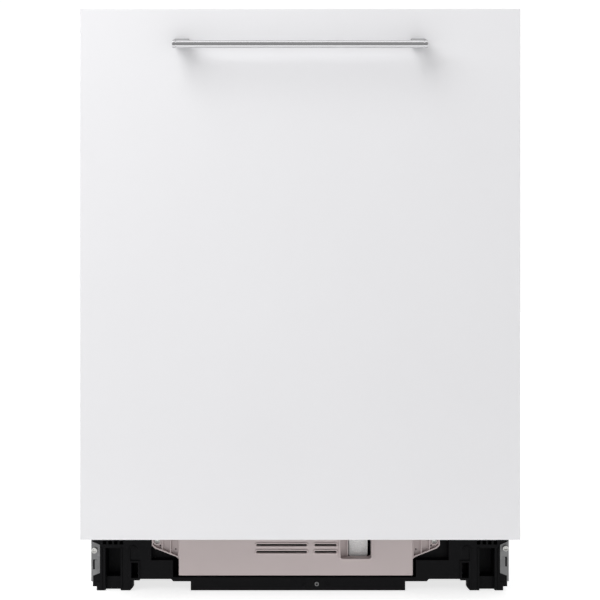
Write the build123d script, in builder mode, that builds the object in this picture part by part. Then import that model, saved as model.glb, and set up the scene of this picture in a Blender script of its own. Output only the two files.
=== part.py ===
"""Built-in dishwasher with a furniture front and bar handle, as an assembly of separate pieces.

Frame: +Z up, the front faces -Y, the origin is at the middle of the footprint on the floor. Millimetres.
"""

import os
from math import cos, radians, sin

from build123d import *

# ---------------------------------------------------------------- driving dimensions
body_width = 598.0  # over the two side panels
body_height = 815.0  # floor to the top rail, feet screwed in
body_depth = 550.0  # door sheet to rear panel, without the furniture panel
panel_width = 597.0
panel_thickness = 19.0
panel_bottom = 91.0  # plinth height under the furniture panel
panel_top_gap = 4.0
handle_spacing = 320.0  # between the handle's screws
handle_length = 337.0
handle_bar_diameter = 10.0
handle_projection = 38.0
door_thickness = 51.0  # door sheet to the liner's rim
liner_bulge = 16.0
liner_gap = 2.0  # door liner's rim to the tub's front flange
sheet = 1.0  # sheet metal
wall = 3.0  # base moulding
base_underside = 0.4  # towers above the floor, feet screwed in
tray_underside = 16.6
base_low_top = 92.0
hinge_above_panel = 13.0  # hinge axis over the panel's lower edge
hinge_behind_door = 23.0
hinge_pin_diameter = 8.0
running_clearance = 0.05
clearance = 0.3
side_gap = 26.0  # tub wall to side panel, for springs and felt
tub_rise = 46.0  # tub floor over the hinge axis, so wheels clear the open door
pan_depth = 12.0
wheel_diameter = 34.0
wheel_width = 10.0
rack_bar = 4.0
lower_rack_travel = 150.0
upper_rack_travel = 400.0
foot_travel = 60.0

# ---------------------------------------------------------------- places worked out from them
overall_depth = body_depth + panel_thickness + handle_projection
y_back = overall_depth / 2
y_door = y_back - body_depth
y_panel = y_door - panel_thickness
y_liner = y_door + door_thickness
y_base = y_liner
y_tub = y_liner + liner_gap
half_width = body_width / 2
panel_top = body_height - panel_top_gap
hinge_y = y_door + hinge_behind_door
hinge_z = panel_bottom + hinge_above_panel
tub_floor = hinge_z + tub_rise
tub_ceiling = body_height - 25.0
tub_half = half_width - side_gap - sheet  # inner half width
tub_back = y_back - 24.0  # inner face of the tub's rear wall
tub_mid_y = (y_tub + tub_back) / 2
base_half = half_width - 2 * sheet
y_base_back = y_back - 3.0

pieces = {}


def block(x, y, z, mode=Mode.ADD):
    """Adds a box between low and high limits to the part being built."""
    with Locations(((x[0] + x[1]) / 2, (y[0] + y[1]) / 2, (z[0] + z[1]) / 2)):
        return Box(x[1] - x[0], y[1] - y[0], z[1] - z[0], mode=mode)


def rod(axis, span, centre, radius, mode=Mode.ADD):
    """Adds a cylinder along X, Y or Z; centre gives its other two coordinates in X, Y, Z order."""
    middle = (span[0] + span[1]) / 2
    place = {
        "X": ((middle, *centre), (0, 90, 0)),
        "Y": ((centre[0], middle, centre[1]), (90, 0, 0)),
        "Z": ((*centre, middle), (0, 0, 0)),
    }[axis]
    with Locations(Location(*place)):
        return Cylinder(radius, span[1] - span[0], mode=mode)


def across(side, near, far):
    """Limits on X between two distances from the middle, on the left (-1) or right (1)."""
    return tuple(sorted((side * near, side * far)))


def about(middle, size):
    """Limits of a span of this size about a middle."""
    return (middle - size / 2, middle + size / 2)


# ---------------------------------------------------------------- base moulding
tower_outer = half_width - 8.0
tower_width = 52.0
tower_inner = tower_outer - tower_width
tower_depth = 60.0
tower_plate = 9.0  # depth of the part that stands below the tray
channel_depth = 7.0  # in that part
channel_reach = 24.0  # above it
channel_wall = 2.0
channel_outer = tower_outer - 12.2
channel_width = 22.2
channel_top = 61.0
strip_low = 5.8  # foot of the strip outside the tower
foot_x = channel_outer - channel_width / 2
foot_y = y_base + 33.0
foot_rod_diameter = 10.0
foot_disc_diameter = 36.0
rear_foot_x = 24.0
rear_foot_y = y_base_back - 50.0
spindle_z = 9.7
spindle_diameter = 6.0
ear_width = 12.4  # side panel's front ear
ear_low = 13.3
ear_top = 71.0
screw_x = half_width - 5.0
screw_z = {-1: 58.0, 1: 61.0}  # left and right
slot_z = {-1: 37.5, 1: 41.5}
bulkhead_y = y_base + 30.0
kick_middle = -6.0
kick_half = half_width - 131.6
kick_low = 22.4
kick_top = 89.0
kick_ear = 39.0
kick_gap = 6.6
opening_middle = kick_middle - 2.0
ear_recess_half = half_width - 86.0
opening_half = kick_half + kick_gap
crossbar_half = half_width - 145.4
crossbar_middle = -2.9
lip_half = half_width - 113.5
bracket_x = half_width - 8.5  # inner face of the chassis hinge bracket
bracket_sheet = 2.0
arm_sheet = 2.5
arm_gap = 0.5
bracket_slot_back = y_base + 92.0
float_x = 84.0
float_y = y_base + 19.0
float_pin_radius = 2.5
valve_x = -half_width + 96.0
drain_x = -half_width + 160.0
cable_x = half_width - 90.0
port_z = 58.0
port_recess = 34.0

with BuildPart() as base_tray:
    # open tray
    block((-base_half, base_half), (y_base, y_base_back), (tray_underside, base_low_top))
    block(
        (-base_half + wall, base_half - wall),
        (y_base + wall, y_base_back - wall),
        (tray_underside + wall, base_low_top + wall),
        Mode.SUBTRACT,
    )
    # walls that carry the tub: rear, front bulkhead and two long ribs
    tub_under = tub_floor - sheet
    block((-base_half, base_half), (y_base_back - wall, y_base_back), (base_low_top, tub_under))
    block((-tub_half + 4, tub_half - 4), (bulkhead_y, bulkhead_y + wall), (tray_underside, tub_under))
    for side in (-1, 1):
        block(
            across(side, tub_half - 21, tub_half - 18),
            (bulkhead_y, y_base_back - wall),
            (tray_underside, tub_under),
        )
        block(
            across(side, base_half - wall, base_half),
            (bracket_slot_back, y_base_back),
            (base_low_top - wall, tub_under),
        )
    # shelf over the front compartment, behind the hinge's sweep
    block((-tower_inner, tower_inner), (y_base, bulkhead_y + wall), (base_low_top - wall, base_low_top))
    for side in (-1, 1):
        # tower, the cavity over its foot and the channel down its front
        tower_span = across(side, tower_inner, tower_outer)
        strip_span = across(side, tower_outer, base_half)
        block(tower_span, (y_base, y_base + tower_depth), (tray_underside, base_low_top))
        block(tower_span, (y_base, y_base + tower_plate), (base_underside, base_low_top))
        block(strip_span, (y_base + sheet, y_base + tower_depth), (tray_underside, base_low_top))
        block(strip_span, (y_base + sheet, y_base + tower_plate), (strip_low, base_low_top))
        block(
            across(side, tower_inner + 5, tower_outer - 5),
            (y_base + channel_reach + channel_wall, y_base + tower_depth - 4),
            (0, channel_top),
            Mode.SUBTRACT,
        )
        channel_span = across(side, channel_outer - channel_width, channel_outer)
        channel_step = tray_underside + channel_wall
        block(channel_span, (y_base - 1, y_base + channel_depth), (0, channel_top), Mode.SUBTRACT)
        block(channel_span, (y_base, y_base + channel_reach), (channel_step, channel_top), Mode.SUBTRACT)
        # seat of the side panel's ear
        block(
            across(side, half_width - ear_width - clearance, half_width),
            (y_base - 1, y_base + sheet + clearance),
            (ear_low - 1, ear_top + 1),
            Mode.SUBTRACT,
        )
        rod("Y", (y_base, y_base + 12), (side * screw_x, screw_z[side]), 1.7, Mode.SUBTRACT)
        # row of four moulded slots over the channel
        for number in range(4):
            slot_x = channel_outer + 3.7 - 8.0 * number
            block(
                across(side, slot_x - 5.3, slot_x), (y_base - 1, y_base + 10), (66.0, 71.5), Mode.SUBTRACT
            )
        # ribs each side of the channel and beside the screwdriver pocket
        for rib in (channel_outer - channel_width, tower_inner + 6.0, channel_outer + 6.5):
            block(
                across(side, rib - 1.8, rib),
                (y_base - 1.5, y_base + 1),
                (base_underside + 0.5, channel_top),
            )
        # chamfered inner foot of the tower
        with BuildSketch(Plane.XZ.offset(-(y_base - 1))) as tower_corner:
            with BuildLine():
                Polyline(
                    (side * (tower_inner - 1), 0),
                    (side * (tower_inner + 4.5), 0),
                    (side * tower_inner, 5.0),
                    (side * (tower_inner - 1), 5.0),
                    close=True,
                )
            make_face()
        extrude(amount=-(tower_depth + 2), mode=Mode.SUBTRACT)
        # screwdriver pocket
        pocket = across(side, tower_inner - 9.5, tower_inner + 4.5)
        block(pocket, (y_base - 1.8, y_base + 26), (15.2, 43.0))
        block(
            (pocket[0] + 2, pocket[1] - 2),
            (y_base - 3, y_base + 23),
            (18.5, 40.6),
            Mode.SUBTRACT,
        )
        for tooth in (24.0, 33.0):
            block(
                across(side, tower_inner - 8.0, tower_inner - 6.2),
                (y_base, y_base + 8),
                (tooth, tooth + 2.2),
            )
        # half-round locating boss
        with BuildSketch(Plane.XZ.offset(-(y_base + 1))) as half_boss:
            with Locations((side * tower_inner, 58.6)):
                Circle(5.6)
                Circle(4.4, mode=Mode.SUBTRACT)
                with Locations((0, -6)):
                    Rectangle(14, 12, mode=Mode.SUBTRACT)
        extrude(amount=2.2)
        # threaded way up for the front foot
        rod(
            "Z",
            (channel_top - 1, base_low_top + 1),
            (side * foot_x, foot_y),
            foot_rod_diameter / 2 + running_clearance,
            Mode.SUBTRACT,
        )
    # opening for the kick cover, and the recesses that take its ears
    ear_recess = (y_base - 1, y_base + 10)
    block(
        about(opening_middle, 2 * opening_half),
        (y_base - 1, y_base + wall + 1),
        (19.0, base_low_top + 1),
        Mode.SUBTRACT,
    )
    block(
        about(opening_middle, 2 * opening_half),
        (y_base - 1, bulkhead_y),
        (base_low_top - wall - 1, base_low_top + 1),
        Mode.SUBTRACT,
    )
    for side in (-1, 1):
        outer = side * ear_recess_half
        inner = side * opening_half + opening_middle
        span = tuple(sorted((inner, outer)))
        housing = tuple(sorted((inner, outer + side * wall)))
        block(housing, (y_base + 0.5, y_base + 14), (40.0, base_low_top - wall))
        block(span, ear_recess, (43.5, base_low_top + 1), Mode.SUBTRACT)
        rod(
            "Y",
            (y_base + 5, y_base + 15),
            (side * (kick_half + 31.5) + kick_middle, 70.4),
            1.7,
            Mode.SUBTRACT,
        )
    # lip and crossbar under the opening
    with BuildSketch(Plane.XZ.offset(-y_base)) as lip:
        with BuildLine():
            Polyline(
                (-lip_half, 17.6),
                (-lip_half + 4, 13.3),
                (lip_half - 4, 13.3),
                (lip_half, 17.6),
                close=True,
            )
        make_face()
    extrude(amount=-9)
    block(about(crossbar_middle, 2 * crossbar_half), (y_base, y_base + 12), (base_underside, 18.5))
    for mark in (5.0, 40.0):
        block(about(mark, 6), (y_base - 0.4, y_base + 1), about(spindle_z, 6))
        block(about(mark, 4.4), (y_base - 1, y_base + 0.4), about(spindle_z, 4.4), Mode.SUBTRACT)
    rod(
        "Y",
        (y_base - 1, y_base + 13),
        (rear_foot_x, spindle_z),
        spindle_diameter / 2 + running_clearance,
        Mode.SUBTRACT,
    )
    # rear foot housing
    block(about(rear_foot_x, 48), about(rear_foot_y, 48), (base_underside, base_low_top))
    block(about(rear_foot_x, 42), about(rear_foot_y, 42), (0, 62.0), Mode.SUBTRACT)
    rod(
        "Z",
        (60, base_low_top + 1),
        (rear_foot_x, rear_foot_y),
        foot_rod_diameter / 2 + running_clearance,
        Mode.SUBTRACT,
    )
    rod(
        "Y",
        (rear_foot_y - 30, rear_foot_y - 15),
        (rear_foot_x, spindle_z),
        spindle_diameter / 2 + running_clearance,
        Mode.SUBTRACT,
    )
    # recess in the rear wall round the water and power connections
    for port, width in ((valve_x, 60.0), (drain_x, 44.0), (cable_x, 44.0)):
        block(
            about(port, width), (y_base_back - port_recess - wall, y_base_back), (port_z - 26, port_z + 26)
        )
        block(
            about(port, width - 2 * wall),
            (y_base_back - port_recess, y_base_back + 1),
            (port_z - 23, port_z + 23),
            Mode.SUBTRACT,
        )
    for port, radius in ((valve_x, 11.0), (drain_x, 8.0), (cable_x, 9.0)):
        rod(
            "Y",
            (y_base_back - port_recess - wall - 1, y_base_back - port_recess + 1),
            (port, port_z),
            radius,
            Mode.SUBTRACT,
        )
    # guide of the leak float
    block(about(float_x, 40), (y_base + 9, bulkhead_y), (tray_underside, tray_underside + wall + 3))
    block(about(float_x, 14), (y_base + 12, y_base + 26), (tray_underside + wall, 38))
    rod("Z", (26, 40), (float_x, float_y), float_pin_radius + running_clearance, Mode.SUBTRACT)
    block((float_x + 16, float_x + 20), (y_base + 12, bulkhead_y), (tray_underside + wall, 80))
pieces["base_tray"] = base_tray

# ---------------------------------------------------------------- side panels, rear panel, top
side_low = ear_low
side_top = body_height - 15.0
side_front = y_base
cabinet_hole_radius = 2.6
cabinet_hole_z = (body_height - 75.0, tub_floor + 60.0)
cabinet_hole_y = y_base + 24.0
for side, word in ((-1, "left"), (1, "right")):
    with BuildPart() as side_panel:
        block(
            across(side, half_width - sheet, half_width), (side_front, y_back - sheet), (side_low, side_top)
        )
        # front ear over the base, with a slanted top and foot
        with BuildSketch(Plane.XZ.offset(-side_front)) as ear:
            with BuildLine():
                Polyline(
                    (side * half_width, side_low),
                    (side * (half_width - 2.7), side_low),
                    (side * (half_width - 2.7), side_low + 8.2),
                    (side * (half_width - ear_width), side_low + 12.0),
                    (side * (half_width - ear_width), ear_top - 5.6),
                    (side * half_width, ear_top),
                    close=True,
                )
            make_face()
        extrude(amount=-sheet)
        # slot with its pressed tab
        tab_height = 13.0
        block(
            across(side, half_width - 5.4, half_width - 2.6),
            (side_front - 1, side_front + sheet + 1),
            about(slot_z[side], tab_height + 1.2),
            Mode.SUBTRACT,
        )
        with BuildSketch(Plane.XY.offset(slot_z[side] - tab_height / 2)) as tab:
            with BuildLine():
                Polyline(
                    (side * (half_width - 11.0), side_front + sheet / 2),
                    (side * (half_width - 5.4), side_front - 1.6),
                    (side * (half_width - 5.4), side_front - 0.8),
                    (side * (half_width - 10.6), side_front + sheet / 2 + 0.4),
                    close=True,
                )
            make_face()
        extrude(amount=tab_height)
        # screw hole, larger than the screw
        rod(
            "Y",
            (side_front - 1, side_front + sheet + 1),
            (side * screw_x, screw_z[side]),
            3.4,
            Mode.SUBTRACT,
        )
        # front flange over the side gap, above the hinge
        block(across(side, half_width - 12, half_width), (y_tub + 1, y_tub + 2), (tub_floor, side_top))
        # rear flange
        block(
            across(side, half_width - 14, half_width),
            (y_back - 2 * sheet, y_back - sheet),
            (base_low_top + 65, side_top),
        )
        # two pressed panels stiffen the sheet
        for low, high in ((tub_floor + 40, 455.0), (485.0, side_top - 45)):
            block(across(side, half_width - 4, half_width - sheet), (y_base + 60, y_back - 60), (low, high))
            block(
                across(side, half_width - 3, half_width + 1),
                (y_base + 61, y_back - 61),
                (low + 1, high - 1),
                Mode.SUBTRACT,
            )
        # holes for screws into the cabinet's sides
        for hole_z in cabinet_hole_z:
            rod(
                "X",
                (side * half_width - 4, side * half_width + 4),
                (cabinet_hole_y, hole_z),
                cabinet_hole_radius,
                Mode.SUBTRACT,
            )
    pieces[f"side_panel_{word}"] = side_panel

with BuildPart() as rear_panel:
    rear_low = tub_floor + 2
    block((-half_width + 2, half_width - 2), (y_back - sheet, y_back), (rear_low, body_height - 20))
    for middle in (-0.25, 0.25):
        rib = about(middle * body_width, body_width * 0.32)
        block(rib, (y_back - 6, y_back - sheet), (rear_low + 60, body_height - 100))
        block(
            (rib[0] + 1, rib[1] - 1),
            (y_back - 5, y_back + 1),
            (rear_low + 61, body_height - 101),
            Mode.SUBTRACT,
        )
pieces["rear_panel"] = rear_panel

rail_depth = 34.0
rail_front = y_tub + 3.0
bracket_hole_spacing = body_width - 118.0
bracket_hole_radius = 2.5
bracket_hole_y = rail_front - 9.0
with BuildPart() as top_cross_rail:
    block(
        (-half_width + 1.2, half_width - 1.2),
        (rail_front, rail_front + rail_depth),
        (body_height - sheet, body_height),
    )
    block(
        (-half_width + 1.2, half_width - 1.2),
        (rail_front, rail_front + sheet),
        (body_height - 14, body_height),
    )
    block(
        (-half_width + 1.2, half_width - 1.2),
        (rail_front + rail_depth - sheet, rail_front + rail_depth),
        (body_height - 14, body_height),
    )
    for side in (-1, 1):
        # tongue that screws to the worktop
        block(
            about(side * bracket_hole_spacing / 2, 30),
            (rail_front - 18, rail_front),
            (body_height - sheet, body_height),
        )
        rod(
            "Z",
            (body_height - 3, body_height + 2),
            (side * bracket_hole_spacing / 2, bracket_hole_y),
            bracket_hole_radius,
            Mode.SUBTRACT,
        )
pieces["top_cross_rail"] = top_cross_rail

with BuildPart() as top_insulation:
    block(
        (-half_width + 14, half_width - 14),
        (rail_front + rail_depth + 2, y_back - 12),
        (tub_ceiling + sheet + 0.5, body_height - 4),
    )
    fillet(top_insulation.edges().group_by(Axis.Z)[-1], 5)
pieces["top_insulation"] = top_insulation

# ---------------------------------------------------------------- tub, seal and water parts
sump_x = 0.0
sump_y = tub_mid_y
sump_hole_radius = 92.0
sump_body_radius = 78.0
salt_x = -tub_half + 92.0
salt_y = tub_back - 150.0
salt_radius = 36.0
pan_half = tub_half - 56.0
pan_front = y_tub + 40.0
pan_back = tub_back - 28.0
pan_floor = tub_floor - pan_depth
with BuildPart() as tub_cavity:
    block((-tub_half, tub_half), (y_tub - 5, tub_back), (tub_floor, tub_ceiling))
    fillet(tub_cavity.edges().filter_by(Axis.Y), 12)

with BuildPart() as tub:
    block(
        (-tub_half - sheet, tub_half + sheet),
        (y_tub, tub_back + sheet),
        (tub_floor - sheet, tub_ceiling + sheet),
    )
    fillet(tub.edges().filter_by(Axis.Y), 13)
    # front flange, closing the gap to the side panels
    flange_half = half_width - 13.0
    block((-flange_half, flange_half), (y_tub, y_tub + sheet), (tub_floor - sheet, tub_ceiling + 12))
    block(
        (-pan_half - sheet, pan_half + sheet),
        (pan_front - sheet, pan_back + sheet),
        (pan_floor - sheet, tub_floor),
    )
    add(tub_cavity.part, mode=Mode.SUBTRACT)
    block((-pan_half, pan_half), (pan_front, pan_back), (pan_floor, tub_floor + 1), Mode.SUBTRACT)
    # openings for the sump and the salt container
    rod("Z", (pan_floor - 5, tub_floor + 2), (sump_x, sump_y), sump_hole_radius, Mode.SUBTRACT)
    rod("Z", (pan_floor - 5, tub_floor + 2), (salt_x, salt_y), salt_radius, Mode.SUBTRACT)
    # hole for the water feed to the upper arms
    rod("Y", (tub_back - 2, tub_back + 3), (0, tub_floor + 24), 9.0, Mode.SUBTRACT)
pieces["tub"] = tub

seal_width = 10.0
seal_depth = 14.0
with BuildPart() as tub_seal:
    seal_inset = 0.4
    seal_half = tub_half - seal_inset
    seal_high = tub_ceiling - seal_inset
    seal_low = tub_floor + 14.0
    with BuildSketch(Plane.XZ.offset(-(y_liner + clearance))) as seal_face:
        with BuildLine():
            Polyline(
                (-seal_half, seal_low),
                (-seal_half, seal_high - 12),
                (-seal_half + 12, seal_high),
                (seal_half - 12, seal_high),
                (seal_half, seal_high - 12),
                (seal_half, seal_low),
                (seal_half - seal_width, seal_low),
                (seal_half - seal_width, seal_high - 16),
                (seal_half - 16, seal_high - seal_width),
                (-seal_half + 16, seal_high - seal_width),
                (-seal_half + seal_width, seal_high - 16),
                (-seal_half + seal_width, seal_low),
                close=True,
            )
        make_face()
    extrude(amount=-seal_depth)
    # hollow lip behind the sealing face
    for side in (-1, 1):
        block(
            across(side, seal_half - seal_width + 2, seal_half - 2),
            (y_liner + 5, y_liner + seal_depth + 1),
            (seal_low - 1, seal_high - 20),
            Mode.SUBTRACT,
        )
pieces["tub_seal"] = tub_seal

strike_sheet = 1.5
strike_low = tub_ceiling
with BuildPart() as door_strike:
    block(about(0, 44), (y_tub - strike_sheet - 0.2, y_tub - 0.2), (strike_low, strike_low + 12))
    for side in (-1, 1):
        rod("Y", (y_tub - 13, y_tub - 1), (side * 9, strike_low + 6), 2.0)
    rod("X", (-11, 11), (y_tub - 13, strike_low + 6), 2.0)
pieces["door_strike"] = door_strike

hub_x = sump_x - 30.0
with BuildPart() as sump:
    rod("Z", (pan_floor - sheet - 3.2, pan_floor - sheet - 0.2), (sump_x, sump_y), sump_hole_radius + 8)
    rod("Z", (42, pan_floor - sheet - 0.2), (sump_x, sump_y), sump_body_radius)
    rod("Z", (pan_floor - 6.7, pan_floor), (sump_x, sump_y), 74, Mode.SUBTRACT)
    rod("Z", (46, pan_floor), (sump_x, sump_y), 71.5, Mode.SUBTRACT)
    rod("Z", (45, 54), (hub_x, sump_y), 16)
    # water outlet to the spray arm hub and the pump's two spigots
    rod("X", (70, 118), (sump_y, 70), 17)
    rod("X", (60, 120), (sump_y, 70), 14, Mode.SUBTRACT)
    rod("Y", (sump_y + 60, sump_y + 112), (0, 64), 11)
    rod("Y", (sump_y + 50, sump_y + 114), (0, 64), 8.5, Mode.SUBTRACT)
pieces["sump"] = sump

filter_cup_radius = 30.0
arm_hub_radius = 14.0
cup_x = sump_x + 37.0
with BuildPart() as filter_plate:
    rod("Z", (pan_floor - 6.5, pan_floor - 5), (sump_x, sump_y), 73.4)
    rod("Z", (pan_floor - 7, pan_floor - 4), (cup_x, sump_y), filter_cup_radius + 0.4, Mode.SUBTRACT)
    rod("Z", (pan_floor - 7, pan_floor - 4), (hub_x, sump_y), arm_hub_radius + 0.4, Mode.SUBTRACT)
pieces["filter_plate"] = filter_plate

with BuildPart() as filter_cup:
    rod("Z", (58, pan_floor - 2), (cup_x, sump_y), filter_cup_radius)
    rod("Z", (60.5, pan_floor), (cup_x, sump_y), filter_cup_radius - 2, Mode.SUBTRACT)
    rod("Z", (pan_floor - 8, pan_floor - 5.5), (cup_x, sump_y), filter_cup_radius - 1.5)
    rod("Z", (pan_floor - 9, pan_floor - 5), (cup_x, sump_y), filter_cup_radius - 9, Mode.SUBTRACT)
    block(about(cup_x, 6), about(sump_y, 2 * filter_cup_radius - 6), (pan_floor - 8, pan_floor + 4))
pieces["filter_cup"] = filter_cup

lower_arm_z = tub_floor + 12.0
lower_arm_radius = min(tub_half, (tub_back - y_tub) / 2) - 14.0
with BuildPart() as lower_arm_hub:
    # hub that carries the lower arm, fed from the sump
    rod("Z", (54.2, lower_arm_z - 1), (hub_x, sump_y), arm_hub_radius - 1)
    rod("Z", (54, lower_arm_z - 4), (hub_x, sump_y), arm_hub_radius - 4, Mode.SUBTRACT)
    rod("Z", (lower_arm_z - 1, lower_arm_z + 16), (hub_x, sump_y), 7)
    rod("Z", (lower_arm_z + 12.9, lower_arm_z + 16), (hub_x, sump_y), 11)
pieces["lower_arm_hub"] = lower_arm_hub


def spray_arm(centre, radius, low, bore, jets):
    """A two-bladed arm about a hub, its ribs under it, with jet holes through its top."""
    with BuildPart() as arm:
        with BuildSketch(Plane.XY.offset(low)) as outline:
            with Locations(centre):
                SlotOverall(2 * radius, 34)
                Circle(26)
        extrude(amount=12)
        fillet(arm.edges().group_by(Axis.Z)[-1], 4)
        rod("Z", (low - 3, low + 13), centre, bore, Mode.SUBTRACT)
        for number in range(jets):
            for side in (-1, 1):
                reach = radius * (0.3 + 0.62 * number / jets)
                rod(
                    "Z",
                    (low + 6, low + 14),
                    (centre[0] + side * reach, centre[1] + side * (6 - 3 * (number % 3))),
                    1.6,
                    Mode.SUBTRACT,
                )
    return arm


pieces["lower_spray_arm"] = spray_arm(
    (hub_x, sump_y), lower_arm_radius - abs(hub_x), lower_arm_z + 0.3, 7.3, 6
)

with BuildPart() as circulation_pump:
    pump_y = sump_y
    pump_end = tub_half - 44.0
    rod("X", (118.3, 150), (pump_y, 70), 34)
    rod("X", (150, pump_end), (pump_y, 70), 30)
    rod("X", (110, 119), (pump_y, 70), 13.5)
    block((pump_end - 68, pump_end - 14), (pump_y - 22, pump_y + 22), (tray_underside + wall + 0.3, 50))
    rod("Z", (100, 122), (134, pump_y + 8), 10)
pieces["circulation_pump"] = circulation_pump

with BuildPart() as drain_pump:
    drain_pump_y = sump_y + 112.3
    rod("Y", (drain_pump_y, drain_pump_y + 30), (0, 64), 24)
    rod("Y", (drain_pump_y + 30, drain_pump_y + 52), (0, 64), 20)
    rod("Y", (drain_pump_y - 6, drain_pump_y), (0, 64), 8.3)
    block((-16, 16), (drain_pump_y + 4, drain_pump_y + 48), (tray_underside + wall + 0.3, 46))
pieces["drain_pump"] = drain_pump

with BuildPart() as softener_tank:
    tank_span = (salt_x - 62, sump_x - sump_body_radius - 4)
    block(
        tank_span,
        (salt_y - 62, salt_y + 60),
        (tray_underside + wall + 0.3, pan_floor - sheet - 6),
    )
    fillet(softener_tank.edges().filter_by(Axis.Z), 10)
    rod("Z", (60, pan_floor + 2), (salt_x, salt_y), salt_radius - 0.4)
    block(
        (tank_span[0] + 6, tank_span[1] - 6),
        (salt_y - 56, salt_y + 54),
        (28, pan_floor - sheet - 12),
        Mode.SUBTRACT,
    )
    rod("Z", (60, pan_floor + 3), (salt_x, salt_y), salt_radius - 6, Mode.SUBTRACT)
pieces["softener_tank"] = softener_tank

with BuildPart() as salt_cap:
    rod("Z", (pan_floor + 2.2, pan_floor + 11), (salt_x, salt_y), salt_radius - 1)
    rod("Z", (pan_floor - 8, pan_floor + 3), (salt_x, salt_y), salt_radius - 6 - running_clearance)
    rod("Z", (pan_floor - 9, pan_floor + 8), (salt_x, salt_y), salt_radius - 9, Mode.SUBTRACT)
    block(about(salt_x, 52), about(salt_y, 6), (pan_floor + 10, pan_floor + 17))
pieces["salt_cap"] = salt_cap

inlet_thread_radius = 13.1
inlet_thread_length = 14.0
with BuildPart() as inlet_valve:
    recess_floor = y_base_back - port_recess
    rod("Y", (recess_floor - 34, recess_floor + 1), (valve_x, port_z), 10.7)
    rod("Y", (recess_floor + 0.2, recess_floor + 3), (valve_x, port_z), 17)
    rod(
        "Y",
        (recess_floor + 3, recess_floor + 3 + inlet_thread_length),
        (valve_x, port_z),
        inlet_thread_radius,
    )
    rod("Y", (recess_floor - 10, recess_floor + 18), (valve_x, port_z), 7, Mode.SUBTRACT)
    block(about(valve_x, 30), (recess_floor - 66, recess_floor - 34), about(port_z + 4, 44))
pieces["inlet_valve"] = inlet_valve

drain_spigot_radius = 9.5
drain_spigot_length = 24.0
with BuildPart() as drain_connector:
    rod("Y", (recess_floor - 24, recess_floor + 1), (drain_x, port_z), 7.7)
    rod("Y", (recess_floor + 0.2, recess_floor + 3), (drain_x, port_z), 14)
    rod(
        "Y",
        (recess_floor + 3, recess_floor + 3 + drain_spigot_length),
        (drain_x, port_z),
        drain_spigot_radius,
    )
    rod("Y", (recess_floor - 25, recess_floor + 30), (drain_x, port_z), 6.5, Mode.SUBTRACT)
pieces["drain_connector"] = drain_connector

cable_bore_radius = 4.5
cable_gland_length = 20.0
with BuildPart() as power_gland:
    rod("Y", (recess_floor - 12, recess_floor + 0.2), (cable_x, port_z), 8.8)
    with BuildSketch(Plane.XZ.offset(-(recess_floor + 0.2))) as gland_nut:
        with Locations((cable_x, port_z)):
            RegularPolygon(13, 6)
    extrude(amount=-7.8)
    rod(
        "Y",
        (recess_floor - 12, recess_floor - 12 + cable_gland_length),
        (cable_x, port_z),
        cable_bore_radius,
        Mode.SUBTRACT,
    )
pieces["power_gland"] = power_gland

riser_y = tub_back - 1.0
top_arm_z = tub_ceiling - 27.0
with BuildPart() as feed_pipe:
    # flat pipe up the tub's rear wall, its ports for the middle and top arms
    block(about(0, 34), (riser_y - 13, riser_y), (tub_floor + 12, tub_ceiling - 14))
    fillet(feed_pipe.edges().filter_by(Axis.Z), 5)
    rod("Y", (riser_y - 1, tub_back + 14), (0, tub_floor + 24), 8.5)
    middle_port_z = tub_ceiling - 309.0
    for port in (middle_port_z, middle_port_z - 50):
        rod("Y", (riser_y - 18, riser_y - 12), (0, port), 12)
        rod("Y", (riser_y - 19, riser_y - 8), (0, port), 9.5, Mode.SUBTRACT)
    block(about(0, 22), (tub_mid_y - 12, riser_y - 3), (tub_ceiling - 14, tub_ceiling - 3))
    rod("Z", (top_arm_z - 5, tub_ceiling - 10), (0, tub_mid_y), 6)
    rod("Z", (top_arm_z - 5, top_arm_z - 0.7), (0, tub_mid_y), 9)
pieces["feed_pipe"] = feed_pipe

pieces["top_spray_arm"] = spray_arm((0, tub_mid_y), 150.0, top_arm_z - 0.3, 6.3, 4)

# ---------------------------------------------------------------- leak float and feet
with BuildPart() as leak_float:
    block(about(float_x, 27), (y_base + 11, y_base + 27), (46.0, 76))
    fillet(leak_float.edges().filter_by(Axis.Y), 4)
    rod("Z", (30, 84), (float_x, float_y), float_pin_radius)
    block(about(float_x - 12, 1.2), (y_base + 10, y_base + 13), (56.0, 63.0), Mode.SUBTRACT)
pieces["leak_float"] = leak_float


def foot(centre, rod_top):
    """Threaded rod with a hexagon to turn it by and a broad foot."""
    with BuildPart() as made:
        rod("Z", (0, 5), centre, foot_disc_diameter / 2)
        fillet(made.edges().group_by(Axis.Z)[-1], 1.5)
        with BuildSketch(Plane.XY.offset(5)) as hexagon:
            with Locations(centre):
                RegularPolygon(9.5, 6)
        extrude(amount=8)
        rod("Z", (13, rod_top), centre, foot_rod_diameter / 2)
    return made


pieces["front_foot_left"] = foot((-foot_x, foot_y), base_low_top - 3)
pieces["front_foot_right"] = foot((foot_x, foot_y), base_low_top - 3)
gear_z = 22.0
with BuildPart() as rear_foot:
    rod("Z", (0, 3.6), (rear_foot_x, rear_foot_y), 17)
    rod("Z", (3.6, 90), (rear_foot_x, rear_foot_y), foot_rod_diameter / 2)
pieces["rear_foot"] = rear_foot

with BuildPart() as rear_foot_spindle:
    rod("Y", (y_base - 1.4, rear_foot_y - 9), (rear_foot_x, spindle_z), spindle_diameter / 2)
    rod("Y", (rear_foot_y - 14, rear_foot_y - 7), (rear_foot_x, spindle_z), 5.6)
    with BuildSketch(Plane.XZ.offset(-(y_base - 2))) as key:
        with Locations((rear_foot_x, spindle_z)):
            RegularPolygon(1.8, 6)
    extrude(amount=-6, mode=Mode.SUBTRACT)
pieces["rear_foot_spindle"] = rear_foot_spindle

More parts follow.
